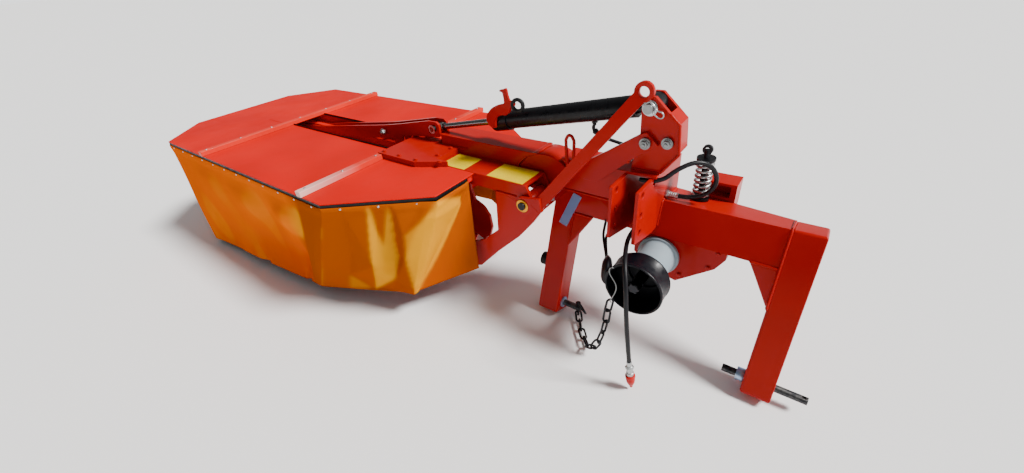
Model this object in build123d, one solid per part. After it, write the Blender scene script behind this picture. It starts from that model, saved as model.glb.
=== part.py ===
from build123d import *
import math
import os

# Rear-mounted drum mower: a three-point headstock, and a cutter unit that folds up on it.
# Millimetres. +X runs from the cutter to the headstock, -Y towards the tractor, +Z up.
# The origin is on the ground, under the middle of the overall length.

# Overall places
OUTER_X = -1410.0          # outer end of the hood
FOLD_X, FOLD_Z = 547.0, 475.0      # axis that the cutter unit folds on, along Y
SHEET = 4.0                # hood sheet
PLATE = 12.0               # lugs, braces and mast plates
RUN = 0.05                 # radial running clearance of a shaft in its bore
SEAT = 0.2                 # radial clearance of a fixed pin or ring
AIR = 6.0                  # clear space between pieces that move apart

# Hood
HOOD_TOP = 537.0
HOOD_X0, HOOD_X1 = OUTER_X, 340.0
HOOD_Y = 459.0
OUTER_CUT_X, OUTER_CUT_Y = 185.0, 206.0     # chamfers at the outer end
INNER_CUT_X, INNER_CUT_Y = 296.0, 217.0     # chamfers at the inner end
RIM_DROP = 28.0
STRIP_T, STRIP_H = 5.0, 25.0
CLOTH_T = 3.0
HEM_FOOT = 20.0                             # level that the skirt's sides run down to
HEM_LINE = [(-1410.0, 28.0), (-1160.0, 30.0), (-250.0, 60.0), (171.0, 110.0), (340.0, 150.0)]    # x, hem's height
MOUTH_Y0, MOUTH_Y1 = -93.0, 190.0           # gap in the skirt for the arm and beams
SLOT_X0, SLOT_X1 = -1040.0, -110.0          # opening over the gear case
SLOT_Y0, SLOT_Y1 = -45.0, 120.0
BAR_XS = (-836.0, -67.0)
BAR_Y, BAR_W, BAR_H = 464.0, 28.0, 20.0

# Gear case and cross beams of the cutter unit
CASE_X0, CASE_X1 = -1090.0, 176.0
CASE_Y0, CASE_Y1 = -60.0, 120.0
CASE_Z0, CASE_Z1 = 370.0, 470.0
COVER_X0, COVER_X1 = -84.0, 225.0
COVER_Y0, COVER_Y1 = -120.0, 90.0
COVER_H = 20.0
CARRY_X1 = 515.0
CARRY_Y0, CARRY_Y1 = -60.0, 50.0
CARRY_Z0 = 492.0
LUG_R = 30.0
BOX_Z0, BOX_Z1 = 489.0, 595.0               # rear box, both halves
BOX_Y0, BOX_Y1 = CARRY_Y1, 150.0
BOX_X0 = 90.0
KNUCKLE_R = BOX_Z1 - FOLD_Z         # round end of the box's fixed half
FOLD_UP = 48.0                      # how far the cutter unit folds
FOLD_PIN_R = 13.0
SLEEVE_R = 24.0

# Drums
DRUM_PITCH = 760.0
DRUM_X0 = -957.0
DRUM_R, DRUM_TOP = 165.0, 350.0
DISC_R, DISC_Z0, DISC_Z1 = 330.0, 74.0, 80.0
DRUM_WALL = 6.0
KNIFE_CIRCLE_R = 390.0
KNIFE_L, KNIFE_W, KNIFE_T = 115.0, 45.0, 4.0
KNIVES = 3
SPINDLE_R = 35.0
DISH_R, DISH_H = 290.0, 55.0

# Lift cylinder, all in one plane
LIFT_Y = 85.0
MAST_PIN_X, MAST_PIN_Z = 879.0, 783.0
EYE_X, EYE_Z = 38.0, 603.5
BARREL_R, BARREL_BORE_R = 30.0, 25.0
ROD_R = 11.0
GLAND_AT = 530.0           # gland face, from the mast pin
BARREL_AT = 46.0           # closed end of the barrel
PORT_AT = 181.0            # oil port under the barrel
BARREL_EYE_W = 40.0
MAST_PIN_R = 12.5
PISTON_AT = 330.0
EYE_R, EYE_W = 19.0, 28.0
EYE_PIN_R = 10.0
LEVER_T, LEVER_GAP = 10.0, 32.0
FLOAT_R = 14.5             # half width of the slot that the eye's pin rides in
FLOAT_DX, FLOAT_DZ = 10.5, 5.75

# Headstock
LEAN = 20.3                # the legs and the beam's front face lean forward
TOP_Y, TOP_Z = 130.0, 489.0        # front top edge of the cross beam
TOP_FALL = 10.0            # fall of the beam's top to the rear
BEAM_H = 110.0
BEAM_END_DEPTH, BEAM_MID_DEPTH = 78.0, 142.0
LEG_W = 79.0
LEG_L_X, LEG_R_X = 554.0, 1250.0   # each leg's left face
LEG_BOTTOM_Y = -41.0
GUSSET_DOWN, GUSSET_ALONG = 119.0, 73.0
CLEVIS_XS = (830.0, 903.0)         # left faces of the two top link plates
CLEVIS_T = 10.0
TOP_LINK_Y, TOP_LINK_ZS = -35.0, (582.0, 522.0, 467.0)
TOP_LINK_R = 9.75
CLEVIS_TOP = 601.0
BRIDGE_T = 8.0
MAST_Y0 = 52.0
HITCH_Y, HITCH_Z, HITCH_R = 8.0, 47.0, 11.0
HITCH_ROOT_R, HITCH_COLLAR_R = 14.0, 20.0    # in the leg, and the collar against it
HITCH_L_END = LEG_L_X + LEG_W + 75
HITCH_R_START, HITCH_END_X = LEG_R_X - 61, LEG_R_X + LEG_W + 81
LINCH_IN, LINCH_R, LINCH_HOLE_R = 11.0, 4.5, 5.0     # linch pin: from the hitch pin's end, its size, its hole
LINCH_X = HITCH_L_END - LINCH_IN
PTO_X, PTO_Z, PTO_R = 931.0, 315.0, 17.45
BELL_R, BELL_Y0, BELL_Y1 = 90.0, -115.0, 5.0
HOUSING_R = 52.0
GUARD_Y0, GUARD_Y1 = 100.0, 185.0
HOSE_D = 13.0


# Helpers

def block(x, y, z):
    """A box between two limits on each axis."""
    size = [b - a for a, b in (x, y, z)]
    middle = [(a + b) / 2 for a, b in (x, y, z)]
    return Pos(*middle) * Box(*size)


def prism(points, travel):
    """A closed polygon pushed along a vector."""
    face = Face(Wire.make_polygon([Vector(*p) for p in points], close=True))
    return Solid.extrude(face, Vector(*travel))


def plate_xz(points, y0, y1):
    return prism([(x, y0, z) for x, z in points], (0, y1 - y0, 0))


def plate_yz(points, x0, x1):
    return prism([(x0, y, z) for y, z in points], (x1 - x0, 0, 0))


def plate_xy(points, z0, z1):
    return prism([(x, y, z0) for x, y in points], (0, 0, z1 - z0))


def rod(start, end, radius):
    """A round bar between two points."""
    start, end = Vector(*start), Vector(*end)
    along = end - start
    low = (Align.CENTER, Align.CENTER, Align.MIN)
    return Plane(origin=start, z_dir=along) * Cylinder(radius, along.length, align=low)


def pin_y(x, z, y0, y1, radius):
    return rod((x, y0, z), (x, y1, z), radius)


def turned(profile, axis):
    """A closed (radius, height) profile turned about a vertical axis at x, y."""
    wire = Wire.make_polygon([Vector(r, 0, z) for r, z in profile], close=True)
    return Pos(axis[0], axis[1], 0) * revolve(Face(wire), Axis.Z)


def along_y(solid, x, y, z):
    """A solid turned about Z, laid down so that its top points along +Y."""
    return Pos(x, y, z) * Rot(-90, 0, 0) * solid


def write(solids, name):
    """One STEP file for each node, from one solid or a list of them."""
    solids = solids if isinstance(solids, list) else [solids]
    bodies = [s for piece in solids for s in piece.solids()]
    for body in bodies:
        body.label = name
    export_step(bodies[0] if len(bodies) == 1 else Compound(children=bodies), f"parts/{name}.step")


# Hood and skirt

def hood_outline(inset):
    """The eight-sided outline, moved in by a distance on every side, with the two ends of the skirt's gap."""
    outline = [
        (HOOD_X0 + OUTER_CUT_X, -HOOD_Y), (HOOD_X1 - INNER_CUT_X, -HOOD_Y),
        (HOOD_X1, -HOOD_Y + INNER_CUT_Y), (HOOD_X1, MOUTH_Y0), (HOOD_X1, MOUTH_Y1),
        (HOOD_X1, HOOD_Y - INNER_CUT_Y), (HOOD_X1 - INNER_CUT_X, HOOD_Y), (HOOD_X0 + OUTER_CUT_X, HOOD_Y),
        (HOOD_X0, HOOD_Y - OUTER_CUT_Y), (HOOD_X0, -HOOD_Y + OUTER_CUT_Y),
    ]
    return moved_in(outline, inset)


def hem_outline(inset):
    """Where the skirt's sides end: it hangs outward along the front, and is drawn in beside the inner drum."""
    outline = [
        (-1159, -489), (-273, -447), (133, -309), (324, MOUTH_Y0), (324, MOUTH_Y1),
        (190, 290), (-60, 455), (-1159, 489), (-1392, 262), (-1392, -258),
    ]
    return moved_in(outline, inset)


def moved_in(outline, inset):
    """Each side of a convex outline moved in, and the corners met again."""
    sides = []
    for (x0, y0), (x1, y1) in zip(outline, outline[1:] + outline[:1]):
        length = math.hypot(x1 - x0, y1 - y0)
        normal = (-(y1 - y0) / length, (x1 - x0) / length)
        sides.append((normal, normal[0] * x0 + normal[1] * y0 + inset))
    corners = []
    for (x, y), (n0, d0), (n1, d1) in zip(outline, sides[-1:] + sides[:-1], sides):
        det = n0[0] * n1[1] - n0[1] * n1[0]
        if abs(det) < 1e-6:
            corners.append((x + n0[0] * inset, y + n0[1] * inset))
        else:
            corners.append(((d0 * n1[1] - d1 * n0[1]) / det, (n0[0] * d1 - n1[0] * d0) / det))
    return corners


def beam_notch(z0, z1):
    """The way that both cross beams take through the hood's inner end."""
    front = block((CASE_X1, HOOD_X1 + 1), (CARRY_Y0 - 1, CARRY_Y1), (z0, z1))
    rear = block((BOX_X0 - 1, HOOD_X1 + 1), (BOX_Y0 - 1, BOX_Y1 + 1), (z0, z1))
    return front + rear


def hood():
    sheet = plate_xy(hood_outline(0), HOOD_TOP - SHEET, HOOD_TOP)
    rim_in = STRIP_T + CLOTH_T
    rim = plate_xy(hood_outline(rim_in), HOOD_TOP - RIM_DROP, HOOD_TOP - SHEET)
    rim -= plate_xy(hood_outline(rim_in + SHEET), HOOD_TOP - RIM_DROP, HOOD_TOP - SHEET)
    under = (CASE_Z1, HOOD_TOP - SHEET)
    front_wall = block((SLOT_X0 - SHEET, SLOT_X1 + SHEET), (SLOT_Y0 - SHEET, SLOT_Y0), under)
    rear_wall = block((SLOT_X0 - SHEET, SLOT_X1 + SHEET), (SLOT_Y1, SLOT_Y1 + SHEET), under)
    shape = sheet + rim + front_wall + rear_wall
    for x in (SLOT_X0 - SHEET, SLOT_X1):
        shape += block((x, x + SHEET), (SLOT_Y0, SLOT_Y1), under)
    shape -= block((SLOT_X0, SLOT_X1), (SLOT_Y0, SLOT_Y1), (CASE_Z1, HOOD_TOP))
    return shape - beam_notch(HOOD_TOP - RIM_DROP, HOOD_TOP)


def hood_bars():
    bars = []
    for x in BAR_XS:
        shape = block((x - BAR_W / 2, x + BAR_W / 2), (-BAR_Y, BAR_Y), (HOOD_TOP, HOOD_TOP + BAR_H))
        if COVER_X0 < x < COVER_X1:
            shape -= block((x - BAR_W, x + BAR_W), (COVER_Y0 - 5, SLOT_Y1 + 5),
                           (HOOD_TOP, HOOD_TOP + BAR_H))
        bars.append(shape)
    return bars


def hood_brackets():
    """Four angle brackets that carry the hood on the gear case's front."""
    width, foot, thick = 60.0, 50.0, 6.0
    brackets = []
    for x in (-1000.0, -700.0, -400.0, -140.0):
        span = (x - width / 2, x + width / 2)
        web = block(span, (CASE_Y0 - thick, CASE_Y0), (CASE_Z0 + 20, HOOD_TOP - SHEET))
        web += block(span, (CASE_Y0 - foot, CASE_Y0 - thick), (HOOD_TOP - SHEET - thick, HOOD_TOP - SHEET))
        brackets.append(web)
    return brackets


def edge_strip():
    z = (HOOD_TOP - SHEET - STRIP_H, HOOD_TOP - SHEET)
    strip = plate_xy(hood_outline(0.5), *z) - plate_xy(hood_outline(STRIP_T), *z)
    return strip - block((HOOD_X1 - 40, HOOD_X1), (MOUTH_Y0, MOUTH_Y1), z)


def skirt():
    top, knee, foot = HOOD_TOP - SHEET, HOOD_TOP - RIM_DROP, HEM_FOOT
    shells = []
    for inset in (STRIP_T, STRIP_T + CLOTH_T):
        upper = plate_xy(hood_outline(inset), knee, top)
        rings = [
            Wire.make_polygon([Vector(x, y, z) for x, y in outline], close=True)
            for outline, z in ((hood_outline(inset), knee), (hem_outline(inset), foot))
        ]
        shells.append(upper + Solid.make_loft(rings, ruled=True))
    cloth = shells[0] - shells[1]
    cloth -= block((HOOD_X1 - 60, HOOD_X1 + 1), (MOUTH_Y0, MOUTH_Y1), (foot, top))
    hem_cut = HEM_LINE + [(HOOD_X1, foot - 1), (HOOD_X0, foot - 1)]
    return cloth - plate_xz(hem_cut, -600, 600)


# Gear case, beams and drums

def main_beam():
    """The gear case, with the raised gear housing at its inner end."""
    case = block((CASE_X0, CASE_X1), (CASE_Y0, CASE_Y1), (CASE_Z0, CASE_Z1))
    case = fillet(case.edges().filter_by(Axis.Z).group_by(Axis.X)[0], 60)
    return case + block((COVER_X0, CASE_X1), (CASE_Y0, CARRY_Y1), (CASE_Z1, HOOD_TOP - SHEET))


def gear_cover():
    cut = 55.0
    outline = [
        (COVER_X0, COVER_Y0), (COVER_X1 - 2 * cut, COVER_Y0), (COVER_X1, COVER_Y0 + cut),
        (COVER_X1, CARRY_Y0 - 2), (CASE_X1 - 2, CARRY_Y0 - 2), (CASE_X1 - 2, BOX_Y0 - 2),
        (BOX_X0 - 3, BOX_Y0 - 2), (BOX_X0 - 3, COVER_Y1), (COVER_X0, COVER_Y1),
    ]
    cover = plate_xy(outline, HOOD_TOP, HOOD_TOP + COVER_H)
    return cover


def carrying_beam():
    """Front cross beam: a box, with a top plate and two lugs round the fold pin."""
    beam = block((CASE_X1, CARRY_X1), (CARRY_Y0, CARRY_Y1), (CARRY_Z0, HOOD_TOP))
    beam += block((CARRY_X1, FOLD_X + 3), (CARRY_Y0, CARRY_Y1), (HOOD_TOP - 8, HOOD_TOP))
    lug = [(CARRY_X1 - 60, CARRY_Z0), (CARRY_X1 - 60, HOOD_TOP), (FOLD_X + 3, HOOD_TOP),
           (FOLD_X + LUG_R, FOLD_Z), (FOLD_X, FOLD_Z), (FOLD_X - LUG_R, FOLD_Z - 6)]
    for y0 in (CARRY_Y0, CARRY_Y1 - PLATE):
        beam += plate_xz(lug, y0, y0 + PLATE) + pin_y(FOLD_X, FOLD_Z, y0, y0 + PLATE, LUG_R)
    return beam - pin_y(FOLD_X, FOLD_Z, CARRY_Y0, CARRY_Y1, FOLD_PIN_R + RUN)


def rear_box():
    """The moving half of the rear box; its end is hollowed round the fold axis."""
    box = block((BOX_X0, FOLD_X), (BOX_Y0, BOX_Y1), (BOX_Z0, BOX_Z1))
    return box - pin_y(FOLD_X, FOLD_Z, BOX_Y0, BOX_Y1, KNUCKLE_R + AIR)


def curved_arm():
    """The bent plate under the front beam, down to the drum's inner side."""
    y0 = CARRY_Y0
    outline = [(426, CARRY_Z0), (416, 333), (347, 272), (309, 250), (186, 207), (171, 84),
               (310, 137), (408, 240), (507, 334), (570, 409), (600, 452), (604, 468),
               (FOLD_X + LUG_R + 4, 468), (FOLD_X + 16, FOLD_Z - LUG_R - 2), (FOLD_X - 16, FOLD_Z - LUG_R - 2),
               (FOLD_X - LUG_R - 14, FOLD_Z), (FOLD_X - LUG_R - 14, CARRY_Z0)]
    return plate_xz(outline, y0, y0 + PLATE) - carrying_beam()


def inner_plate():
    """The rounded plate under the gear case's inner end, behind the curved arm."""
    outline = [(CASE_X1, CASE_Z1), (CASE_X1, CASE_Z0), (CASE_X1 - 6, 300), (198, 204), (246, 181),
               (283, 210), (298, 250), (293, 302), (268, 336), (228, 356), (216, 400), (216, CASE_Z1)]
    return plate_xz(outline, CARRY_Y1 - PLATE, CARRY_Y1)


def drum_axis(index):
    return (DRUM_X0 + index * DRUM_PITCH, 0.0)


def spindles():
    """Under each drum place: a flanged neck, and the fixed tube that the drum and dish turn on."""
    profile = [(0, 30), (SPINDLE_R, 30), (SPINDLE_R, CASE_Z0 - 14), (75, CASE_Z0 - 14),
               (75, CASE_Z0), (0, CASE_Z0)]
    return [turned(profile, drum_axis(i)) for i in range(2)]


def drum(index):
    """Sheet drum: a hub, a domed top, a straight body and a flared disc."""
    w = DRUM_WALL
    hub_in, hub_out = SPINDLE_R + RUN, SPINDLE_R + 15
    profile = [
        (hub_in, DRUM_TOP - 40), (hub_in, CASE_Z0 - 14.3), (hub_out, CASE_Z0 - 14.3),
        (hub_out, DRUM_TOP), (DRUM_R - 20, DRUM_TOP), (DRUM_R, DRUM_TOP - 20),
        (DRUM_R, 190), (DRUM_R + 25, 130), (DRUM_R + 95, DISC_Z1 + 8), (DISC_R, DISC_Z1),
        (DISC_R, DISC_Z0), (DRUM_R + 90, DISC_Z0), (DRUM_R + 20, 124), (DRUM_R - w, 188),
        (DRUM_R - w, DRUM_TOP - 24), (DRUM_R - 24, DRUM_TOP - w), (hub_out, DRUM_TOP - w),
        (hub_out, DRUM_TOP - 40),
    ]
    shape = turned(profile, drum_axis(index))
    x, y = drum_axis(index)
    for step in range(KNIVES):
        rib = block((DRUM_R - 3, DRUM_R + 16), (-4, 4), (150, 320))
        shape += Pos(x, y, 0) * Rot(0, 0, 60 + 360 / KNIVES * step) * rib
    return shape


def knives(index):
    """Knives under the disc, each on its stud; neighbours on the two drums pass between each other."""
    x, y = drum_axis(index)
    blades = []
    z1 = DISC_Z0 - 6
    for step in range(KNIVES):
        start = KNIFE_CIRCLE_R - KNIFE_L
        blade = block((start, KNIFE_CIRCLE_R - 8), (-KNIFE_W / 2, KNIFE_W / 2), (z1 - KNIFE_T, z1))
        blade = fillet(blade.edges().filter_by(Axis.Z), 8)
        blade += rod((start + 25, 0, z1), (start + 25, 0, DISC_Z0), 11)
        blades.append(Pos(x, y, 0) * Rot(0, 0, 360 / KNIVES * step) * blade)
    return blades


def dish(index):
    """The sliding dish that the drum stands on; it turns by itself."""
    bore, w = SPINDLE_R + RUN, 6.0
    profile = [
        (0, 0), (150, 0), (DISH_R - 40, 14), (DISH_R, DISH_H), (DISH_R - w, DISH_H),
        (DISH_R - 44, 14 + w), (150, w), (bore + 18, w), (bore + 18, 60), (bore, 60), (bore, w), (0, w),
    ]
    return turned(profile, drum_axis(index))


# Lift cylinder and lever

LIFT_DX, LIFT_DZ = EYE_X - MAST_PIN_X, EYE_Z - MAST_PIN_Z
LIFT_LENGTH = math.hypot(LIFT_DX, LIFT_DZ)


def lift_point(distance, up=0.0, y=LIFT_Y):
    """A point on the cylinder's line, by its distance from the mast pin and its height off the line."""
    ux, uz = LIFT_DX / LIFT_LENGTH, LIFT_DZ / LIFT_LENGTH
    return (MAST_PIN_X + distance * ux + up * uz, y, MAST_PIN_Z + distance * uz - up * ux)


def lift_rod_between(start, end, radius):
    return rod(lift_point(start), lift_point(end), radius)


def lift_barrel():
    barrel = lift_rod_between(BARREL_AT, GLAND_AT, BARREL_R)
    barrel += lift_rod_between(GLAND_AT - 45, GLAND_AT, BARREL_R + 4)
    eye = (LIFT_Y - BARREL_EYE_W / 2, LIFT_Y + BARREL_EYE_W / 2)
    barrel += pin_y(MAST_PIN_X, MAST_PIN_Z, *eye, 27)
    barrel += lift_rod_between(10, BARREL_AT, BARREL_EYE_W / 2)
    barrel -= lift_rod_between(60, GLAND_AT - 40, BARREL_BORE_R)
    barrel -= lift_rod_between(GLAND_AT - 41, GLAND_AT + 1, ROD_R + RUN)
    barrel += rod(lift_point(PORT_AT, 2 - BARREL_R), lift_point(PORT_AT, -BARREL_R - 5), 9)
    return barrel - pin_y(MAST_PIN_X, MAST_PIN_Z, *eye, MAST_PIN_R + RUN)


def lift_rod():
    shape = lift_rod_between(PISTON_AT, LIFT_LENGTH - 10, ROD_R)
    shape += lift_rod_between(PISTON_AT - 15, PISTON_AT + 15, BARREL_BORE_R - RUN)
    shape += pin_y(EYE_X, EYE_Z, LIFT_Y - EYE_W / 2, LIFT_Y + EYE_W / 2, EYE_R)
    return shape + pin_y(EYE_X, EYE_Z, LIFT_Y - 28, LIFT_Y + 28, EYE_PIN_R)


def latch_hook():
    """Transport latch on the gland: a curved hook plate with its handle and rope ring."""
    y1 = LIFT_Y - BARREL_R - 4.5
    y0 = y1 - 8
    outline = [(286, 640), (300, 690), (330, 718), (386, 736), (373, 772), (388, 778), (404, 742),
               (412, 736), (412, 660), (384, 640), (374, 700), (334, 690), (312, 666), (312, 640)]
    hook = plate_xz(outline, y0, y1)
    ring = pin_y(432, 729, y0, y1, 22) - pin_y(432, 729, y0, y1, 13)
    hook += ring + block((406, 416), (y0, y1), (718, 736))
    x, _, z = lift_point(GLAND_AT - 20)
    hook += pin_y(x, z, y0, y1 + 4, 14)
    return hook - lift_rod_between(GLAND_AT - 60, GLAND_AT + 10, BARREL_R + 4)


def lift_lever():
    """Two lever plates on the gear case, with their posts and the float slot at the tip."""
    outline = [(SLOT_X0 + 6, CASE_Z1), (-700, CASE_Z1), (-467, 491), (-276, 521), (-215, 530),
               (-205, 500), (-203, CASE_Z1), (-150, CASE_Z1), (-152, 545), (-105, 556), (17, 572),
               (66, 576), (76, 588), (76, 624), (64, 634), (20, 633), (-153, 598), (-254, 579),
               (-438, 552), (-789, 500), (SLOT_X0 + 6, 486)]
    plates = []
    slot_ends = [(EYE_X + s * FLOAT_DX, EYE_Z - 0.25 + s * FLOAT_DZ) for s in (-1, 1)]
    for y0 in (LIFT_Y - LEVER_GAP / 2 - LEVER_T, LIFT_Y + LEVER_GAP / 2):
        y1 = y0 + LEVER_T
        plate = plate_xz(outline, y0, y1)
        (ax, az), (bx, bz) = slot_ends
        nx, nz = -(bz - az), bx - ax
        scale = FLOAT_R / math.hypot(nx, nz)
        nx, nz = nx * scale, nz * scale
        slot = plate_xz([(ax + nx, az + nz), (bx + nx, bz + nz), (bx - nx, bz - nz), (ax - nx, az - nz)], y0, y1)
        for x, z in slot_ends:
            slot += pin_y(x, z, y0, y1, FLOAT_R)
        plates.append(plate - slot)
    bolt = pin_y(-262, 552, LIFT_Y - LEVER_GAP / 2 - LEVER_T - 8, LIFT_Y + LEVER_GAP / 2 + LEVER_T + 2, 11)
    return plates[0] + plates[1] + bolt


# Headstock

LEAN_SIN, LEAN_COS = math.sin(math.radians(LEAN)), math.cos(math.radians(LEAN))
FALL_TAN = math.tan(math.radians(TOP_FALL))


def front_y(z):
    """The front face's place at a height."""
    return TOP_Y - (TOP_Z - z) * LEAN_SIN / LEAN_COS


def section(depth, down):
    """The leaning section as (y, z) points: front top, front bottom, rear bottom, rear top."""
    y1, z1 = TOP_Y - down * LEAN_SIN, TOP_Z - down * LEAN_COS
    y2, z2 = y1 + depth * LEAN_COS, z1 - depth * LEAN_SIN
    rise = (TOP_Z - FALL_TAN * (y2 - TOP_Y) - z2) / (LEAN_COS + FALL_TAN * LEAN_SIN)
    return [(TOP_Y, TOP_Z), (y1, z1), (y2, z2), (y2 + rise * LEAN_SIN, z2 + rise * LEAN_COS)]


def crossbeam():
    # x, depth of the section there
    stations = [
        (LEG_L_X + LEG_W, BEAM_END_DEPTH), (CLEVIS_XS[0], BEAM_MID_DEPTH),
        (CLEVIS_XS[1] + CLEVIS_T, BEAM_MID_DEPTH), (LEG_R_X, BEAM_END_DEPTH),
    ]
    wires = [
        Wire.make_polygon([Vector(x, y, z) for y, z in section(depth, BEAM_H)], close=True)
        for x, depth in stations
    ]
    beam = None
    for first, second in zip(wires, wires[1:]):
        part = Solid.make_loft([first, second], ruled=True)
        beam = part if beam is None else beam + part
    return beam


def leg(x0, gusset_side):
    down = (TOP_Z - BEAM_END_DEPTH * LEAN_SIN) / LEAN_COS
    shape = plate_yz(section(BEAM_END_DEPTH, down), x0, x0 + LEG_W)
    inner = x0 + LEG_W if gusset_side > 0 else x0
    places = [(0, BEAM_H), (gusset_side * GUSSET_ALONG, BEAM_H), (0, BEAM_H + GUSSET_DOWN)]
    corners = [(inner + dx, TOP_Y - s * LEAN_SIN, TOP_Z - s * LEAN_COS) for dx, s in places]
    shape += prism(corners, (0, PLATE * LEAN_COS, -PLATE * LEAN_SIN))
    bore = HITCH_ROOT_R + SEAT
    return shape - rod((x0 - 5, HITCH_Y, HITCH_Z), (x0 + LEG_W + 5, HITCH_Y, HITCH_Z), bore)


def hitch_pin_left():
    """A shouldered pin: thick in the leg, with a collar, and a cross hole for its linch pin."""
    face = LEG_L_X + LEG_W
    shape = rod((LEG_L_X, HITCH_Y, HITCH_Z), (face, HITCH_Y, HITCH_Z), HITCH_ROOT_R)
    shape += rod((face, HITCH_Y, HITCH_Z), (face + 6, HITCH_Y, HITCH_Z), HITCH_COLLAR_R)
    shape += rod((face + 6, HITCH_Y, HITCH_Z), (HITCH_L_END, HITCH_Y, HITCH_Z), HITCH_R)
    return shape - rod((LINCH_X, HITCH_Y, HITCH_Z - 20), (LINCH_X, HITCH_Y, HITCH_Z + 20), LINCH_HOLE_R)


def linch_pin():
    """The pin through the left hitch pin's cross hole, which the chain hangs on."""
    shape = rod((LINCH_X, HITCH_Y, 12), (LINCH_X, HITCH_Y, HITCH_Z + 24), LINCH_R)
    return shape + rod((LINCH_X, HITCH_Y, HITCH_Z + 15), (LINCH_X, HITCH_Y, HITCH_Z + 24), 9)


def hitch_pin_right():
    """A pin with a working end on both sides of the leg, for two widths of hitch."""
    face = LEG_R_X + LEG_W
    shape = rod((LEG_R_X, HITCH_Y, HITCH_Z), (face, HITCH_Y, HITCH_Z), HITCH_ROOT_R)
    shape += rod((LEG_R_X - 22, HITCH_Y, HITCH_Z), (LEG_R_X, HITCH_Y, HITCH_Z), HITCH_COLLAR_R)
    shape += rod((HITCH_R_START, HITCH_Y, HITCH_Z), (LEG_R_X - 22, HITCH_Y, HITCH_Z), HITCH_R)
    shape += rod((face, HITCH_Y, HITCH_Z), (HITCH_END_X, HITCH_Y, HITCH_Z), HITCH_R)
    for x in (HITCH_R_START + LINCH_IN, HITCH_END_X - LINCH_IN):
        shape -= rod((x, HITCH_Y, HITCH_Z - 20), (x, HITCH_Y, HITCH_Z + 20), LINCH_HOLE_R)
    return shape


def clevis_plates():
    """Two saddle plates for the top link, on the cross beam's front and top."""
    rear = 263.0
    outline = [(-62, CLEVIS_TOP), (-67, 444), (61, 410), (front_y(410), 410), (TOP_Y, TOP_Z),
               (rear, TOP_Z - (rear - TOP_Y) * FALL_TAN), (rear, 586), (190, CLEVIS_TOP)]
    plates = []
    for x in CLEVIS_XS:
        plate = plate_yz(outline, x, x + CLEVIS_T)
        for z in TOP_LINK_ZS:
            plate -= rod((x - 1, TOP_LINK_Y, z), (x + CLEVIS_T + 1, TOP_LINK_Y, z), TOP_LINK_R)
        plates.append(plate)
    plates[1] -= rod((CLEVIS_XS[1] - 1, HOSE_HOLE[0], HOSE_HOLE[1]),
                     (CLEVIS_XS[1] + CLEVIS_T + 1, HOSE_HOLE[0], HOSE_HOLE[1]), HOSE_D / 2 + 3)
    return plates


def clevis_bridge():
    return block((CLEVIS_XS[0] - 8, CLEVIS_XS[1] + CLEVIS_T + 8), (30, 190), (CLEVIS_TOP, CLEVIS_TOP + BRIDGE_T))


MAST_FOOT = CLEVIS_TOP + BRIDGE_T
MAST_Y1 = MAST_Y0 + 66.0
MAST_BOLTS = ((880.0, 694.0), (934.0, 699.0))
BOLT_R = 9.0


def mast():
    outline = [(840, MAST_FOOT), (859, 705), (857, 795), (868, 811), (891, 811), (958, 748),
               (965, 672), (921, MAST_FOOT)]
    shape = plate_xz(outline, MAST_Y0, MAST_Y0 + PLATE) + plate_xz(outline, MAST_Y1 - PLATE, MAST_Y1)
    closing = [(930, 774), (958, 748), (965, 672), (921, MAST_FOOT), (911, MAST_FOOT), (955, 672), (948, 744), (924, 767)]
    shape += plate_xz(closing, MAST_Y0 + PLATE, MAST_Y1 - PLATE)
    shape -= pin_y(MAST_PIN_X, MAST_PIN_Z, MAST_Y0, MAST_Y1, MAST_PIN_R + SEAT)
    for x, z in MAST_BOLTS:
        shape -= pin_y(x, z, MAST_Y0, MAST_Y1, BOLT_R + SEAT)
    return shape


def mast_pins():
    """The cylinder's pin and the two bolts that clamp the brace."""
    pin = pin_y(MAST_PIN_X, MAST_PIN_Z, MAST_Y0 - 16, MAST_Y1 + 8, MAST_PIN_R)
    pin += pin_y(MAST_PIN_X, MAST_PIN_Z, MAST_Y1, MAST_Y1 + 8, 20)
    pins = [pin]
    for x, z in MAST_BOLTS:
        front = MAST_Y0 - PLATE
        bolt = pin_y(x, z, front - 7, MAST_Y1 + 10, BOLT_R)
        bolt += pin_y(x, z, front - 8, front, 15) if x < 900 else pin_y(x, z, MAST_Y0 - 8, MAST_Y0, 15)
        bolt += pin_y(x, z, MAST_Y1, MAST_Y1 + 10, 14)
        if x > 900:
            bolt -= block((x - 20, x + 20), (front - 8, MAST_Y0 - 8), (z - 20, z + 20))
        pins.append(bolt)
    return pins


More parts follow.
